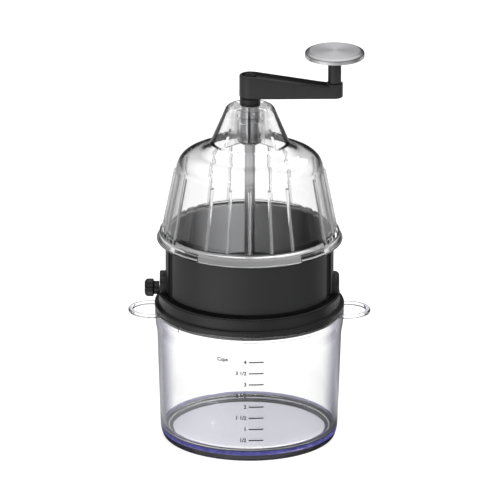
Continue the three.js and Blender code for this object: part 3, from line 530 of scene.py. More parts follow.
# The edges stops paint shade and reflection at grazing view: dark edge lines, and on the neck's outside a dark
# band with a pale rim.
clearBowl, clearLid, clearNeck, clearInside, clearSleeve, clearRim = materialRows(
    clearStyrene, "clear SAN, ", "face edges ior gloss roughness shadow", {
    "violet toned, moulded": (
        "#ffffff", [(0.5, "#ffffff"), (0.72, "#a3a2b8"), (0.9, "#5b5a72")], sanIor, 0.0, 0.02, "#f2f2f6"),
    "neutral, moulded": (
        "#ffffff", [(0.5, "#ffffff"), (0.75, "#b4b4b4"), (0.9, "#3c3c3c")], 1.25, 1.0, 0.015, "#f4f4f4"),
    "neutral, outside of the neck": (
        "#ffffff", [(0.5, "#ffffff"), (0.56, "#606060"), (0.74, "#585858"), (0.82, "#e0e0e0")],
        1.05, 1.0, 0.015, "#f4f4f4"),
    "neutral, inside of the neck": (
        "#f0f0f0", [(0.7, "#f0f0f0"), (0.95, "#909090")], 1.04, 0.3, 0.015, "#f4f4f4"),
    "neutral, guide sleeve": (
        "#f6f6f6", [(0.6, "#e8e8e8"), (0.95, "#909090")], 1.06, 0.0, 0.015, "#f4f4f4"),
    "neutral, flange": (
        "#dcdcdc", [(0.55, "#d8d8d8"), (0.85, "#b0b0b0"), (0.97, "#505050")], 1.3, 0.0, 0.015, "#f4f4f4"),
})
etched = materialRows(etchedStyrene, "clear SAN, ", "low high grain frost roughness ior", {
    "neutral, window frames": ("#d8d8d8", "#e8e8e8", 0.6, 0.6, 0.2, 1.2),
    # painted shade: a grey frost on the front of the flange only
    "neutral, flange's front, painted shade": ("#808080", "#929292", 0.6, 0.65, 0.3, 1.4),
    "neutral, window floors": ("#828282", "#949494", 0.6, 0.8, 0.25, 1.2),
    # the next two rows: at the bowl's foot, a violet band of painted refraction and a near-black ring of
    # painted shade
    "violet cast, foot of the wall": ("#46448e", "#6462b4", 5.0, 0.78, 0.2, 1.45),
    "dark painted shade, foot ring": ("#0c0b10", "#1e1c24", 4.0, 0.92, 0.3, 1.45),
    "neutral, webs": ("#b4b4b4", "#c4c4c4", 0.8, 0.14, 0.05, 1.05),
    "neutral, matt rim of the neck": ("#8a8a8a", "#a4a4a4", 0.8, 0.45, 0.2, 1.1),
    "neutral, ribs": ("#c4c4c4", "#d0d0d0", 0.6, 0.35, 0.12, 1.2),
    "neutral, etched": ("#a0a0a0", "#b0b0b0", 0.6, 0.65, 0.5, sanIor),
})
clearFrame, flangeFrontShade, clearWindow, violetFootShade, darkFootShade, clearWeb, clearTop, clearRib, etchedLid = etched
chamberPaintedGrey = newMaterial("black ABS, lapped chamber wall", paintedLightWall, {
    # painted sheen by facing, and painted side light across X: lighter on the left, darker to the right
    "sheen": [(0.05, "#b4b4b5"), (0.2, "#8c8c8d"), (0.5, "#1c1c1d")],
    "worn": [(0.08, "#909090"), (0.2, "#ffffff"), (0.46, "#f4f4f4"), (0.54, "#aaaaaa"), (0.8, "#a0a0a0"),
             (0.92, "#606060")],
    "reach": 60, "roughness": 0.4, "mark": 1.2, "bump": 0.06, "depth": 0.02,
})
satinBlack, grooveShadeBlack, glossBlack, armBlack = materialRows(
    satinAbs, "black ", "colour roughness grain flow bump depth", {
    "ABS, satin grain": ("#1b1b1c", 0.42, 0.5, 30.0, 0.25, 0.03),
    # near-black in the grooves: painted shade in the recesses, with a rougher finish
    "ABS, rough, painted shade in the grooves": ("#030303", 0.85, 0.8, 30.0, 0.3, 0.04),
    "ABS, near gloss": ("#0e0e0f", 0.27, 0.8, 25.0, 0.1, 0.02),
    "glass-filled nylon, fine grain": ("#242425", 0.36, 0.5, 20.0, 0.2, 0.03),
})
polishedSteel, brushedSteel, faceSteelHighlight, shaftSteel, bladeSteel = materialRows(
    steel, "", "colour roughness stretch centre rings pitch bump depth", {
    "polished stainless bar": ("#cfcfd1", 0.14, 0.0, 0, False, 1.2, 0.08, 0.02),
    "spun stainless sheet, brushed in rings": ("#e2e2e4", 0.3, 0.3, 63.3, True, 0.7, 0.2, 0.02),
    # the scoured face: rougher, as the real face is, and lighter, as a painted highlight
    "spun stainless sheet, scoured face": ("#f6f6f8", 0.56, 0.4, 63.3, True, 0.7, 0.2, 0.02),
    "drawn stainless bar, brushed along": ("#dcdcde", 0.34, 0.0, 0, True, 0.5, 0.12, 0.02),
    "ground blade steel": ("#b5b6b8", 0.22, 0.0, 0, False, 0.6, 0.15, 0.02),
})
acetal, ink = materialRows(plainPlastic, "", "colour ior mottle roughness swing", {
    "grey acetal, turned": ("#8c8c8e", 1.48, 6.0, 0.39, 0.07),
    "pad-printed black ink": ("#1a1a1a", 1.5, 1.5, 0.5, 0.1),
})
print("materials made")


# The bowl: a wall that leans out from its foot to the band under the rim, a floor with a round fillet
# and a recess below it, four thin pads round the rim and a loop ear on each side.
bowlValues = {
    "foot": 65.0, "footInner": 60.4, "recess": 4.6, "footRise": 6.0, "footDark": 5.0, "footViolet": 8.4,
    "base": 67.0, "top": 69.6, "bandStart": 82.2, "band": 71.0, "bandBottom": 90.2, "rim": 100.7, "wall": 3.0,
    "floorTop": 7.6, "floorFillet": 5.0, "earCentre": 74.2, "earRadius": 17.3, "earBand": 3.8,
    "earBottom": 96.7, "earTop": 99.5, "earRound": 1.3, "earCut": 69.5, "padFrom": -94.0, "padTo": -48.5,
    "padBottom": 96.3, "padProud": 0.35, "padEdge": 0.35,
}
v = bowlShape = SimpleNamespace(**bowlValues)
inBand, inTop, inBase = v.band - v.wall, v.top - v.wall, v.base - v.wall
padMiddles = [math.radians((v.padFrom + v.padTo) / 2) + quarter * quarterTurn for quarter in range(4)]
padHalf, padSoft = math.radians((v.padTo - v.padFrom) / 2), v.padEdge / v.band
padEnds = [angle for middle in padMiddles for angle in bothSides(middle, (padHalf, padHalf + padSoft))]


# A pad stands out by its height inside its four edges.
def pads(r, a, z):
    tall = np.clip((z - v.padBottom) / v.padEdge, 0, 1) * windows(a, padMiddles, padHalf, padSoft)
    return r + np.where(r > v.band - v.wall / 2, v.padProud * tall, 0), a, z


bowl = lathe("bowl_moulding", [
    (0, v.recess), (v.footInner - 1.2, v.recess, 2.0), (v.footInner, 0, 1.0), (v.foot, 0, 1.4),
    (v.base, v.footRise, 3.0), (v.top, v.bandStart, 2.5), (v.band, v.bandBottom, 2.5), (v.band, v.rim, 0.7),
    (inBand, v.rim, 0.7), (inBand, v.bandBottom + 0.6, 2.5), (inTop, v.bandStart + 0.6, 2.5),
    (inBase + 0.2, v.floorTop, v.floorFillet), (0, v.floorTop),
], 6, [v.footDark, v.footViolet, v.padBottom, v.padBottom + v.padEdge], 8,
    angles=columns(256, padEnds), shape=pads)
section = ringCorners(v.earRadius - v.earBand, v.earRadius, v.earBottom, v.earTop, v.earRound, v.earRound)
overrun = 5  # how far a cutting shape stands out of what it cuts
low, high = v.earBottom - overrun, v.rim + overrun
for side in (-1, 1):
    ear = lathe("ear", section, sides=96, centre=side * v.earCentre)
    core = lathe("core", [(0, low), (v.earCut, low), (v.earCut, high), (0, high)], sides=256)
    bowl = combine(bowl, combine(ear, core, "DIFFERENCE"), "UNION")
dress(bowl, "bowl", "clear_bowl", clearBowl, "bowl")
# The foot gets painted light: a violet band of painted refraction below footViolet, and a near-black ring of
# painted shade below footDark.
finishPart(bowl, violetFootShade, lambda r, a, z: (r > inBase + 0.6) & (z < v.footViolet))
finishPart(bowl, darkFootShade, lambda r, a, z: (r > v.footInner + 0.9) & (z < v.footDark))
print("bowl made")


# The black collar on the bowl's rim: a skirt in the band, a flange with soft edges, a short wall and a
# ledge inside that carries the cutter housing. The two bosses of the housing drop into notches.
collarValues = {
    "skirtInner": 65.7, "skirtOuter": 67.7, "skirtBottom": 97.5, "flangeBottom": 101.0, "flange": 71.6,
    "flangeTop": 105.4, "edge": 1.1, "wallFoot": 68.9, "wallTop": 68.4, "top": 114.3, "inner": 62.7,
    "ledgeTop": 105.0, "ledgeInner": 58.7, "ledge": 2.0, "notch": 9.3, "notchHeight": 115.6, "notchRise": 12,
    "notchReach": (50.0, 80.0),
}
v = SimpleNamespace(**collarValues)
under = v.ledgeTop - v.ledge
collar = lathe("rim_collar", [
    (v.skirtInner, v.skirtBottom, 0.3), (v.skirtOuter, v.skirtBottom, 0.3),
    (v.skirtOuter, v.flangeBottom, 0.2), (v.flange, v.flangeBottom, v.edge), (v.flange, v.flangeTop, v.edge),
    (v.wallFoot, v.flangeTop, 0.5), (v.wallTop, v.top, 1.3), (v.inner, v.top, 0.6),
    (v.inner, v.ledgeTop, 0.3), (v.ledgeInner, v.ledgeTop, 0.3), (v.ledgeInner, under, 0.3),
    (v.skirtInner, under, 0.3),
], 4, sides=256)
outline = keyhole(v.notch, v.notchHeight, v.notchHeight + v.notchRise)
for side in (-1, 1):
    cutter = pillow("notch", outline, [(0, reach) for reach in v.notchReach], place=outward(side))
    collar = combine(collar, cutter, "DIFFERENCE")
dress(collar, "cutter", "black_gloss", glossBlack, "bowl_collar")
print("collar made")


# The cup scale, pad-printed on the front of the bowl: at each half cup a short line with its number to the
# left, and the unit beside the highest one. The flat shapes are wrapped on the wall: x becomes the angle
# x / r from the front, y the height, and the film's thickness goes outwards.
scaleValues = {
    "numbers": ["1/2", "1", "1 1/2", "2", "2 1/2", "3", "3 1/2", "4"], "first": 17.45, "step": 9.02,
    "lineFrom": -0.3, "lineTo": 10.9, "line": 0.95, "numberEnd": -2.0, "unit": "Cups", "unitEnd": -16.1,
    "unitRise": 1.6, "size": 4.05, "weight": 0.14, "film": 0.03,
}
v = SimpleNamespace(**scaleValues)


# A text as points and faces, with its right end at a place.
def label(text, right, height):
    curve = bpy.data.curves.new("label", "FONT")
    curve.body, curve.size, curve.offset, curve.extrude = text, v.size, v.weight, v.film
    curve.align_x, curve.align_y, curve.resolution_u = "RIGHT", "CENTER", 3
    holder = newObject("label", curve)
    shape = evaluated(holder)
    bpy.data.objects.remove(holder)
    points = fetched(shape.vertices, "co", float, 3).reshape(-1, 3) + (right, height, 0)
    starts = fetched(shape.polygons, "loop_start", int)
    return points, [list(face) for face in np.split(fetched(shape.loops, "vertex_index", int), starts[1:])]


heights = [v.first + k * v.step for k in range(len(v.numbers))]
shapes = [label(text, v.numberEnd, height) for text, height in zip(v.numbers, heights)]
shapes.append(label(v.unit, v.unitEnd, heights[-1] + v.unitRise))
across = np.linspace(v.lineFrom, v.lineTo, 10)
loop = np.array([(-0.5, -1), (0.5, -1), (0.5, 1), (-0.5, 1)]) * (v.line, v.film)
index = np.arange(len(across) * 4).reshape(-1, 4)
a, b = index[:-1], index[1:]
quads = np.stack([a, b, np.roll(b, -1, axis=1), np.roll(a, -1, axis=1)], axis=-1).reshape(-1, 4)
bar = np.vstack([quads, index[0], index[-1][::-1]]).tolist()
shapes += [(np.array([(x, y + height, out) for x in across for y, out in loop]), bar) for height in heights]
faces, count = [], 0
for points, corners in shapes:
    faces += [[corner + count for corner in face] for face in corners]
    count += len(points)
x, z, out = np.vstack([points for points, corners in shapes]).T
share = (z - bowlShape.footRise) / (bowlShape.bandStart - bowlShape.footRise)
r = bowlShape.base + (bowlShape.top - bowlShape.base) * share + v.film * 1.6 + out
mesh = bpy.data.meshes.new("cup_scale")
mesh.from_pydata((np.stack([r * np.sin(x / r), -r * np.cos(x / r), z], axis=-1) * mm).tolist(), [], faces)
mesh.validate()
dress(newObject("cup_scale", mesh), "bowl", "clear_bowl", ink)
print("cup scale printed")


# The cutter housing: a black drum with a slightly raised front and back panel, four long grooves between
# the panels and the plain sides, a chamber wall inside with painted sheen and painted side light, a ledge
# for the blade plate, four bayonet lugs near its rim, and a boss on each side for the selector's shaft.
housingValues = {
    "bottom": 105.3, "lower": 62.4, "panelBottom": 115.7, "panel": 63.4, "top": 161.5, "edge": 0.8,
    "chamber": 60.8, "ledgeTop": 118.8, "ledgeInner": 57.5, "ledgeBottom": 116.8, "lowInner": 59.8,
    "grooveAngle": 70.5, "grooveHalf": 4.0, "grooveTop": 154.3, "grooveDepth": 1.0, "grooveWall": 0.35,
    "lugTurn": 25, "lugHalf": 8, "lugOuter": 67.3, "lugBottom": 158.6, "lugTop": 160.6, "lugEdge": 0.5,
    "bossRadius": 9.0, "bossLow": 115.6, "bossHigh": 119.9, "bossFrom": 61.0, "bossReach": 67.8,
    "leftBevel": 1.2, "rightBevel": 3.4,
}
v = SimpleNamespace(**housingValues)
half, soft = math.radians(v.grooveHalf), math.radians(v.grooveWall)
grooves = [angle for middle in (front, quarterTurn)
           for angle in bothSides(middle, [math.radians(v.grooveAngle)])]
edges = [angle for groove in grooves for angle in bothSides(groove, (half, half + soft))]
heights = [v.grooveTop, v.grooveTop - v.grooveWall]


def cutGrooves(r, a, z):
    deep = windows(a, grooves, half, soft).clip(0, 1) * window(z, 0, heights[1], v.grooveWall)
    outside = r > (v.lower + v.chamber) / 2 + 0.3
    return np.where(outside, np.minimum(r, v.panel - v.grooveDepth * deep), r), a, z


def onGroove(r, a, z):
    off = np.abs(np.abs(np.abs(a) - quarterTurn) - math.radians(v.grooveAngle))
    floor = (r < v.panel - 0.3) & (r > v.lower - 0.4) & (z < v.grooveTop) & (z > v.panelBottom)
    return floor & (off < math.radians(v.grooveHalf + 0.5))


parts = [lathe("cutter_drum", [
    (v.lowInner, v.bottom, 0.4), (v.lower, v.bottom, 0.8), (v.lower, v.panelBottom - 0.8, 0.6),
    (v.panel, v.panelBottom, 0.6), (v.panel, v.top, v.edge), (v.chamber, v.top, v.edge),
    (v.chamber, v.ledgeTop, 0.3), (v.ledgeInner, v.ledgeTop, 0.3), (v.ledgeInner, v.ledgeBottom, 0.3),
    (v.lowInner, v.ledgeBottom, 0.3),
], 5, heights, angles=columns(240, edges), shape=cutGrooves)]
outline = keyhole(v.bossRadius, v.bossLow, v.bossHigh)
for side, bevel in ((-1, v.leftBevel), (1, v.rightBevel)):
    levels = [(0, v.bossFrom)] + [(bevel * (1 - math.cos(t)), v.bossReach - bevel * (1 - math.sin(t)))
                                  for t in np.linspace(0, quarterTurn, 8)]
    parts.append(pillow("boss", outline, levels, place=outward(side)))
levels = roundedLevels(v.lugBottom, v.lugTop, v.lugEdge, 2)
for quarter in range(4):
    middle, reach = math.radians(90 * quarter - 45 + v.lugTurn), math.radians(v.lugHalf)
    arc = np.linspace(middle - reach, middle + reach, 24)
    outline = np.vstack([polar(v.lugOuter, arc), polar(v.panel - 0.6, arc[::-1])])
    parts.append(pillow("lug", outline, levels))
housing = dress(joined(parts), "cutter", "black_satin", satinBlack, "cutter_housing")
# The chamber's wall gets the material with painted sheen and painted side light.
finishPart(housing, chamberPaintedGrey, lambda r, a, z: (r < v.chamber + 0.5) & (z > v.ledgeTop + 0.5))
# The groove floors get near-black: painted shade in the recesses.
finishPart(housing, grooveShadeBlack, onGroove)
print("cutter housing made")


# The selector's knob on the left boss: a neck, and a head with flutes and a crowned face with a cap. Its
# lines run along the axle as (radius, distance outwards from the middle of the drum).
knobValues = {
    "height": 115.6, "neck": 5.05, "start": 68.1, "neckEnd": 72.3, "head": 6.75, "face": 79.2,
    "faceRadius": 4.6, "crown": 1.6, "flutes": 8, "fluteDepth": 0.85, "fluteHalf": 0.19, "recess": 2.7,
    "floor": 77.4, "cap": 2.35, "capDeep": 77.6, "capTop": 78.8,
}
v = SimpleNamespace(**knobValues)


# A flute is deepest in the middle of the head and fades towards its ends and its axis.
def flute(r, a, z):
    wave = (0.5 + 0.5 * np.cos(a * v.flutes)) ** (1 / v.fluteHalf)
    near = window(r, v.head, 0.4, 2.2) * window(z, (v.neckEnd + v.face) / 2, 3.6, 0.6)
    return r - v.fluteDepth * wave * near, a, z


def alongAxle(points):
    return np.stack([-points[..., 2], points[..., 1], points[..., 0] + v.height], axis=-1)


selectorKnob = lathe("selector_grip", [
    (0, v.start), (v.neck, v.start, 0.4), (v.neck, v.neckEnd, 0.8), (v.head, v.neckEnd, 0.8),
    (v.head, v.face - v.crown, 1.2), (v.faceRadius, v.face, 1.0), (v.recess, v.face, 0.3),
    (v.recess, v.floor, 0.2), (0, v.floor),
], 0.8, sides=192, shape=flute, place=alongAxle)
selectorCap = lathe("selector_button", [
    (0, v.capDeep), (v.cap, v.capDeep, 0.1), (v.cap, v.capTop - 0.1, 0.4), (0, v.capTop),
], sides=64, place=alongAxle)
dress(selectorKnob, "selector", "black_gloss", glossBlack, "selector_knob")
dress(selectorCap, "selector", "black_gloss", glossBlack, "selector_cap")
print("selector knob made")


# The dome lid, one clear moulding: a flanged skirt with bayonet lugs inside, a dome with ribs outside, a
# rounded shoulder, a conical neck, and a guide sleeve inside that four webs hold. At the webs the hollow
# of the neck is filled down to the sleeve's lower end. At a rib the dome's radius grows by
# h (1 - (o / w) ^ 4) ^ 0.5, where o is the distance from the rib's middle and w half its width.
lidValues = {
    "base": 64.4, "flangeTop": 163.6, "flangeBottom": 161.8, "flange": 70.0, "skirtBottom": 155.8,
    "skirtInner": 68.0, "edge": 0.7, "wall": 2.4, "shoulder": 54.5, "shoulderHeight": 213.6,
    "shoulderWidth": 19.7, "shoulderRise": 11.6, "roundTo": 66, "shoulderSweep": 84, "neckFoot": 30.3,
    "neckFootHeight": 230.5, "neckTop": 17.6, "neckHeight": 260.6, "neckEdge": 3.0, "ceiling": 7.6,
    "sleeve": 9.3, "bore": 6.9, "sleeveBottom": 232.9, "web": 1.6, "webTurn": 45, "ribHalf": 1.15,
    "ribProud": 1.9, "ribTop": 211.5, "ribPitch": 15, "ribSkip": 45, "ribRun": 0.9, "lugHalf": 10,
    "lugSlope": 0.5, "lugInner": 64.6, "lugTop": 157.8, "etched": 34.4, "windowDepth": 0.45,
    "windowHalf": 10.5, "windowBottom": 156.9, "windowTop": 161.0, "frame": 0.7, "frameTurn": 0.7,
    "edgeTurn": 57.0,
}
v = SimpleNamespace(**lidValues)
ceiling = v.neckHeight - v.ceiling
webs = np.radians(v.webTurn + 90 * np.arange(4))
ribs = [front + math.radians(v.ribPitch * k) for k in range(24) if (v.ribPitch * k) % 90 != v.ribSkip]
windowMiddle, windowTall = (v.windowBottom + v.windowTop) / 2, (v.windowTop - v.windowBottom) / 2 - v.frame


# The lid's section: up the outside to the neck's rim, down the bore, and back down the inside.
def lidLine():
    sweep = np.radians(np.append(np.linspace(0, v.roundTo, 30), v.shoulderSweep))
    turned = np.column_stack([v.shoulder - v.shoulderWidth * (1 - np.cos(sweep)),
                              v.shoulderHeight + v.shoulderRise * np.sin(sweep)])
    outer = rounded([
        (v.flange, v.flangeTop, v.edge), (v.base, v.flangeTop, 1.2), *map(tuple, turned[:-1]),
        (*turned[-1], 3.0), (v.neckFoot, v.neckFootHeight, 4.0), (v.neckTop, v.neckHeight, v.neckEdge),
        (v.bore, v.neckHeight, 0.5),
    ], steps=6)
    # the inner line: the outer one moved inwards by the wall along its normals
    neck = [(v.neckFoot, v.neckFootHeight), (v.neckTop, v.neckHeight)]
    shell = np.vstack([(v.base, v.flangeTop), turned, neck])
    step = np.gradient(shell, axis=0)
    normal = np.column_stack([-step[:, 1], step[:, 0]]) / np.linalg.norm(step, axis=1)[:, None]
    inner = shell + normal * v.wall
    inner[0, 1] = v.flangeBottom
    slope = (inner[-1] - inner[-2]) / (inner[-1, 1] - inner[-2, 1])
    inner[-1] = inner[-2] + slope * (ceiling - inner[-2, 1])
    rest = rounded([
        (v.bore, v.sleeveBottom, 0.4), (v.sleeve, v.sleeveBottom, 0.4), (v.sleeve, ceiling, 0.6),
        (inner[-1, 0], ceiling, 1.5), (*inner[-2], 3.0), *map(tuple, inner[-3:0:-1]), (*inner[0], 0.6),
        (v.skirtInner, v.flangeBottom, 0.8), (v.skirtInner, v.skirtBottom, 0.4),
        (v.flange, v.skirtBottom, 0.5), (v.flange, v.flangeTop, v.edge),
    ], steps=6)
    return np.vstack([outer[1:], rest[:-1]])


# Outer radius of the dome's straight wall at a height.
def domeRadius(z):
    share = np.clip((z - v.flangeTop) / (v.shoulderHeight - v.flangeTop), 0, 1)
    return v.base + (v.shoulder - v.base) * share


# Inner radius of the conical neck at a height, and below its foot that of the foot.
def neckInner(z):
    share = np.clip((z - v.neckFootHeight) / (v.neckHeight - v.neckFootHeight), 0, 1)
    return v.neckFoot + (v.neckTop - v.neckFoot) * share - v.wall


# The lid's columns, each a centre angle, a distance sideways in mm that it keeps at every radius, and the
# radius below which its angle stays. Plain columns fill the gaps between them.
def lidColumns():
    ribAcross = np.array(bothSides(0, (0.35, 0.65, 0.88, 0.97, 1.0, 1.35)) + [0]) * v.ribHalf
    webAcross = np.array(bothSides(0, (0.5, 1.0, 1.45)) + [0]) * v.web / 2
    stops = [(centre, offset, outside) for centre in ribs for offset in ribAcross]
    stops += [(centre, offset, nearSleeve) for centre in webs for offset in webAcross]
    edges = [v.windowHalf - v.frameTurn, v.windowHalf, v.lugHalf - v.lugSlope, v.lugHalf]
    edges = np.array([angle for web in webs for angle in bothSides(web, np.radians(edges))])
    stops += [(angle, 0.0, outside) for angle in edges]
    plain = np.linspace(-math.pi, math.pi, 288, endpoint=False)
    free = np.ones(len(plain), dtype=bool)
    for taken, reach in ((ribs, 2.1), (webs, 10.0), (edges, 0.35)):
        free &= np.abs(between(plain[:, None], np.array(taken)[None, :])).min(axis=1) > math.radians(reach)
    stops += [(angle, 0.0, outside) for angle in plain[free]]
    stops.sort(key=lambda stop: between(stop[0], 0) + stop[1] / outside)
    return np.array(stops).T


outside, nearSleeve = 50.0, 6.5  # radii below which the columns at ribs and at webs keep their angle
centres, offsets, least = lidColumns()


def lidShape(r, a, z):
    a = a + offsets / np.maximum(r, least)
    isRib = np.isin(np.round(centres, 6), np.round(ribs, 6)) & (least == outside)
    isRib &= np.abs(offsets) <= v.ribHalf
    height = np.where(isRib, np.sqrt(np.clip(1 - (offsets / v.ribHalf) ** 4, 0, 1)), 0)
    onDome = (r > domeRadius(z) - 0.3) & (r < v.base + 0.2) & (z > v.flangeTop - 0.05) & (z < v.ribTop + 0.01)
    end = np.clip((v.ribTop - z) / v.ribRun, 0, 1)
    end = np.sqrt(np.clip(1 - (1 - end) ** 2, 0, 1))
    turned = np.where(onDome, r + v.ribProud * height * end, r)
    # webs: the hollow between sleeve and neck, filled down to the sleeve's end
    isWeb = (least == nearSleeve) & (np.abs(offsets) <= v.web / 2 + 1e-6)
    webFoot = v.sleeveBottom + 0.5
    hollow = (r >= v.sleeve - 0.01) & (r < neckInner(z) + 0.35) & (z > webFoot)
    z = np.where(isWeb & hollow, webFoot, z)
    # bayonet lugs and the sunk windows outside them
    lug = windows(a, webs, math.radians(v.lugHalf), math.radians(v.lugSlope))
    low = (z < v.lugTop + 0.1) & (r > v.lugInner) & (r < v.skirtInner + 0.5)
    inwards = np.minimum(turned, v.lugInner + (turned - v.skirtInner).clip(0))
    turned = np.where(low & (lug > 0.5), inwards, turned)
    sunk = windows(a, webs, math.radians(v.windowHalf - v.frameTurn), math.radians(v.frameTurn)).clip(0, 1)
    sunk *= window(z, windowMiddle, windowTall, v.frame)
    return np.where(r > v.flange - 0.3, turned - v.windowDepth * sunk, turned), a, z


# Tests for finishPart. A window's frame is the narrow faces where its floor rises to the skirt.
def inWindow(r, a, z, less, lessTall):
    off = np.degrees(np.abs(between(np.mod(a, quarterTurn), math.radians(v.webTurn))))
    tall = np.abs(z - windowMiddle) < windowTall - lessTall
    return tall & (off < v.windowHalf - less) & (r > v.flange - 1.2)


def onFloor(r, a, z):
    return inWindow(r, a, z, v.frameTurn, 0)


def onWeb(r, a, z):
    return (r > v.sleeve + 0.4) & (r < neckInner(z) - 0.4) & (z > v.sleeveBottom - 0.3) & (z < ceiling - 0.4)


# The flange's outer band, within edgeTurn degrees of the front, gets a grey frost: painted shade.
def onFlangeFront(r, a, z):
    band = (r > v.base + 0.6) & (z > v.flangeBottom - 0.4) & (z < v.flangeTop + 0.3)
    return band & (np.abs(a - front) < math.radians(v.edgeTurn))


def onEtched(r, a, z):
    inside = (r > v.lugInner - 0.2) & (r < v.skirtInner + 0.25)
    band = (z > v.skirtBottom - 0.1) & (z < v.flangeBottom - 0.3)
    return inside & band & (np.abs(np.abs(a) - quarterTurn) < math.radians(v.etched))


line = withHeights(lidLine(), [
    v.ribTop, v.ribTop - v.ribRun, v.windowBottom, v.windowBottom + v.frame,
    v.windowTop, v.windowTop - v.frame, v.lugTop, v.lugTop + 0.2,
])
lid = revolve("dome_moulding", spread(line, 4.0), angles=centres, shape=lidShape)
dress(lid, "lid", "clear_lid", clearLid, "dome_lid")
domeFrom, neckFrom = v.flangeTop + 1.5, v.neckFootHeight + 1.5  # above the flange's and the shoulder's curves
for material, test in (
    (clearRim, lambda r, a, z: z < domeFrom),
    (clearRib, lambda r, a, z: (r > domeRadius(z) + 0.25) & (z > domeFrom) & (z < v.ribTop)),
    (clearInside, lambda r, a, z: z > neckFrom),
    (clearNeck, lambda r, a, z: (z > neckFrom) & (r > neckInner(z) + 1.2)),
    (clearSleeve, lambda r, a, z: (r < v.sleeve + 0.2) & (z > v.sleeveBottom - 0.5) & (z < v.neckHeight - 1)),
    (clearWeb, onWeb),
    (clearTop, lambda r, a, z: (z > v.neckHeight - 0.1) & (r > v.bore)),
    (flangeFrontShade, onFlangeFront),
    (etchedLid, onEtched),
    (clearFrame, lambda r, a, z: inWindow(r, a, z, -0.05, -v.frame - 0.05) & ~onFloor(r, a, z)),
    (clearWindow, onFloor),
):
    finishPart(lid, material, test)
print("dome lid made")


# The rolled steel bush in the sleeve with its open seam, its flange on the neck's rim, and the ring that
# keeps it there.
bushValues = {
    "bore": 4.2, "outer": 6.6, "bottom": 230.8, "top": 261.8, "flange": 7.6, "flangeBottom": 260.9,
    "seam": -95.0, "seamHalf": 7.0, "seamDepth": 1.4, "seamEdge": 1.2,
    "groove": 5.8, "clipBottom": 231.7, "clipTop": 232.6, "clipOuter": 8.0,
}
v = SimpleNamespace(**bushValues)
seam, seamHalf, seamEdge = (math.radians(part) for part in (v.seam, v.seamHalf, v.seamEdge))


# The seam is a groove of even depth between its two edges.
def openSeam(r, a, z):
    depth = v.seamDepth * windows(a, [seam], seamHalf, seamEdge)
    return np.where((r > v.groove - 0.2) & (z < v.flangeBottom), r - depth, r), a, z


bush = lathe("neck_bush", [
    (v.bore, v.bottom, 0.3), (v.outer, v.bottom, 0.4), (v.outer, v.clipBottom, 0.1),
    (v.groove, v.clipBottom, 0.1), (v.groove, v.clipTop, 0.1), (v.outer, v.clipTop, 0.1),
    (v.outer, v.flangeBottom, 0.2), (v.flange, v.flangeBottom, 0.2), (v.flange, v.top, 0.3),
    (v.bore, v.top, 0.3),
], 4, angles=columns(96, bothSides(seam, (seamHalf / 2, seamHalf, seamHalf + seamEdge))), shape=openSeam)
dress(bush, "drive", "polished_steel", polishedSteel, "shaft_bush")
# The seam's floor and sides get black plastic: painted shade in the open seam.
finishPart(bush, satinBlack, lambda r, a, z: (
    (np.abs(between(a, seam)) < seamHalf) & (r > v.bore + 0.3) & (r < v.outer - v.seamDepth / 2)
    & (z < v.flangeBottom)))
play = 0.05  # between the ring and the groove that it sits in
section = ringCorners(v.groove + 2 * play, v.clipOuter, v.clipBottom + play, v.clipTop - play, 0.2, 0.3)
clip = lathe("bush_ring", section, sides=96)
dress(clip, "drive", "grey_acetal", acetal, "bush_clip")
print("neck bush made")


# The crank: a shaft with two flats, a collar on it above the neck, an arm that tapers in plan, is hollowed
# along its top and slopes down to the boss at its end, and a cap over the screw that holds the arm.
crankValues = {
    "shaft": 3.9, "flat": 3.3, "shaftBottom": 129.6, "shaftTop": 282.8, "collar": 7.8, "collarBottom": 262.1,
    "collarTop": 267.7, "hub": 8.2, "end": 6.3, "length": 63.3, "bottom": 267.8, "top": 285.3, "flatTo": 1.0,
    "slopeTo": 57.4, "slopeEnd": 277.8, "slopeSoft": 0.06, "endTop": 279.0, "round": 1.1, "lip": 1.9,
    "pocket": 2.2, "cap": 4.6, "capBottom": 283.0, "capTop": 285.3, "capDish": 0.25,
}
v = SimpleNamespace(**crankValues)


# A pill-shaped outline round two centres on the X axis with their own radii. Each arc ends where the
# straight sides touch it, at the angle whose cosine is the difference of radii over the distance.
def taperedPill(start, end, length, steps=40, straight=24):
    lean = math.acos((start - end) / length)
    near = polar(start, np.linspace(lean, fullTurn - lean, steps))
    far = polar(end, np.linspace(-lean, lean, steps)) + (length, 0)
    share = np.linspace(0, 1, straight + 2)[1:-1, None]
    sides = [one[-1] * (1 - share) + other[0] * share for one, other in ((near, far), (far, near))]
    return np.vstack([near, sides[0], far, sides[1]])


# Straight from 0 to 1 with short soft ends.
def smooth(share, soft):
    share = np.clip(share, 0, 1)
    start = np.where(share < soft, share ** 2 / (2 * soft), share - soft / 2)
    end = np.where(share > 1 - soft, 1 - soft - (1 - share) ** 2 / (2 * soft), start)
    return end / (1 - soft)


# Every point of the arm keeps its share of the arm's height, which falls along the slope.
def slope(points):
    x, y, z = np.moveaxis(points, -1, 0)
    fall = (v.top - v.slopeEnd) * smooth((x - v.flatTo) / (v.slopeTo - v.flatTo), v.slopeSoft)
    low, high = v.bottom + v.round, v.top - v.pocket - 0.1
    middle = low + (z - low) * (high - fall - low) / (high - low)
    return np.stack([x, y, np.where(z > high, z - fall, np.where(z < low, z, middle))], axis=-1)


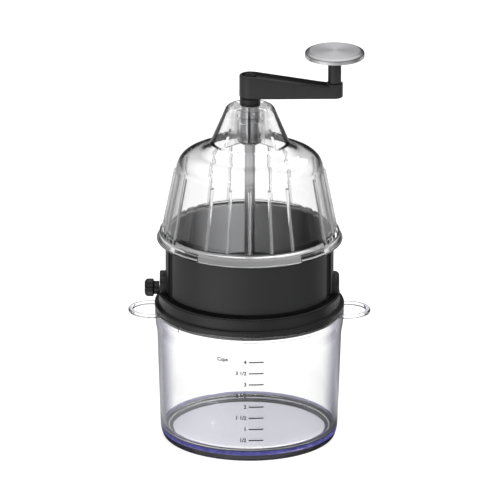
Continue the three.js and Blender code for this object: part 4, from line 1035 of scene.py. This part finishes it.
pocket = v.top - v.pocket
levels = np.vstack([
    roundedLevels(v.bottom, v.top, v.round, 5), (v.lip, v.top), (v.lip + 0.3, pocket), (v.lip + 3.0, pocket),
])
boss = lathe("arm_boss", [
    (0, v.bottom), (v.end, v.bottom, v.round), (v.end, v.endTop, 0.6), (0, v.endTop),
], 3, sides=96, centre=v.length)
arm = combine(pillow("tapered_arm", taperedPill(v.hub, v.end, v.length), levels, place=slope), boss, "UNION")
dress(arm, "crank", "black_arm", armBlack, "crank_arm")
outline = polar(v.shaft, ringAngles(96)).clip((-v.shaft, -v.flat), (v.shaft, v.flat))
shaft = pillow("steel_shaft", outline, roundedLevels(v.shaftBottom, v.shaftTop, 0.5, 3), sharpAngle=25)
dress(shaft, "crank", "polished_steel", shaftSteel, "crank_shaft")
section = ringCorners(v.shaft + 0.1, v.collar, v.collarBottom, v.collarTop, 0.3, 0.7)
collar = lathe("shaft_collar", section, 3)
hubCap = lathe("screw_cap", [
    (0, v.capBottom), (v.cap, v.capBottom, 0.2), (v.cap, v.capTop, 0.35), (v.cap - 1.2, v.capTop, 0.2),
    (v.cap - 1.6, v.capTop - v.capDish, 0.2), (0, v.capTop - v.capDish),
], sides=96)
dress(collar, "crank", "black_gloss", glossBlack, "hub_collar")
dress(hubCap, "crank", "black_gloss", glossBlack, "hub_cap")
print("crank made")


# The turning knob: a stem on its steel pin, flared under a base plate, and a spun steel cap over it.
gripValues = {
    "x": 63.3, "stem": 5.0, "stemBottom": 279.3, "flare": 1.6, "plate": 21.1, "plateBottom": 300.2,
    "plateTop": 302.4, "cap": 22.4, "capBottom": 299.7, "capTop": 304.7, "crown": 5.0, "rise": 2.4,
    "sheet": 1.0, "bore": 2.3,
}
v = SimpleNamespace(**gripValues)
stem = lathe("knob_post", [
    (v.bore, v.stemBottom, 0.2), (v.stem, v.stemBottom, 0.5), (v.stem, v.plateBottom - v.flare, 0.4),
    (v.stem + v.flare, v.plateBottom, 0.8), (v.plate, v.plateBottom, 0.4), (v.plate, v.plateTop, 0.3),
    (v.bore, v.plateTop, 0.2),
], 3, centre=v.x)
inner, under = v.cap - v.sheet, v.capTop - v.sheet
turn = np.linspace(0, quarterTurn, 10)
crown = np.column_stack([v.cap - v.crown * (1 - np.cos(turn)), v.capTop - v.rise * (1 - np.sin(turn))])
cap = lathe("spun_cap", [
    (0, under), (inner - v.crown, under, 0.5), (inner, under - v.rise, 0.5), (inner, v.capBottom, 0.3),
    (v.cap, v.capBottom, 0.4), *map(tuple, crown), (0, v.capTop),
], 2.5, sides=192, centre=v.x)
dress(stem, "knob", "black_arm", armBlack, "knob_stem")
dress(cap, "knob", "brushed_steel", brushedSteel, "knob_cap")
# The cap's face gets a rougher, lighter copy of the steel: its finish is real, its lighter tone a painted
# highlight.
finishPart(cap, faceSteelHighlight, lambda r, a, z: z > v.capTop - 0.12)
print("knob made")


# The food holder under the dome: a disc on the shaft with a soft edge.
holderValues = {"bore": 4.1, "disc": 17.0, "bottom": 131.6, "top": 134.2}
v = SimpleNamespace(**holderValues)
holder = lathe("holder_disc", ringCorners(v.bore, v.disc, v.bottom, v.top, 0.3, 0.9), 3)
dress(holder, "crank", "black_satin", satinBlack, "food_holder")
print("food holder made")


# Pieces inside whose CAD shape stays. A fine bevel breaks their edges so that they catch the light.
innerLooks = [
    (satinBlack, "blade_plate shaft_clip"),
    (bladeSteel, "main_blade comb_fine comb_medium comb_wide detent_spring holder_spikes"),
    (polishedSteel, "blade_screw_outer blade_screw_inner coring_tube selector_shaft knob_axle"),
    (acetal, "drum_bearing_left drum_bearing_right comb_drum detent_wheel"),
]
edgeValues = {"width": 0.12, "segments": 2, "angle": 30}
for look, names in innerLooks:
    for name in names.split():
        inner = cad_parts[name]
        inner.material_slots[0].material = look
        edge = inner.modifiers.new("fine bevel", "BEVEL")
        edge.width, edge.segments = edgeValues["width"] * mm, edgeValues["segments"]
        edge.limit_method, edge.angle_limit = "ANGLE", math.radians(edgeValues["angle"])
        edge.harden_normals = True
print("inner pieces finished")


# The table: white paint for light that bounces, and a bright sweep for what the camera, glass and steel
# see of it. Its light in mirrors goes by its side, as the studio's does.
floorValues = {"colour": "#e8e8e8", "glow": 0.72, "faint": "#b8b8b8", "half": 3}


def whiteTable(tree, v):
    paint, faint, dark = (node(tree, "ShaderNodeBsdfDiffuse", {"Color": linear(tone)})
                          for tone in (v.colour, v.faint, "#000000"))
    ray = node(tree, "ShaderNodeLightPath")
    glow = node(tree, "ShaderNodeEmission", {"Color": linear("#ffffff"), "Strength": v.glow})
    bright = node(tree, "ShaderNodeAddShader", {0: faint, 1: glow})
    lit = mixed(tree, fromSide(tree, objectPlace(tree), ray), dark, bright)
    seen = maths(tree, "MAXIMUM", ray.outputs["Is Camera Ray"], ray.outputs["Is Transmission Ray"])
    return mixed(tree, maths(tree, "MAXIMUM", seen, ray.outputs["Is Glossy Ray"]), paint, lit)


floorMesh = bpy.data.meshes.new("floor")
floorMesh.from_pydata([(x * floorValues["half"], y * floorValues["half"], 0)
                       for x, y in ((-1, -1), (1, -1), (1, 1), (-1, 1))], [], [(0, 1, 2, 3)])
floor = newObject("floor", floorMesh)
floor.data.materials.append(newMaterial("white painted table", whiteTable, floorValues))
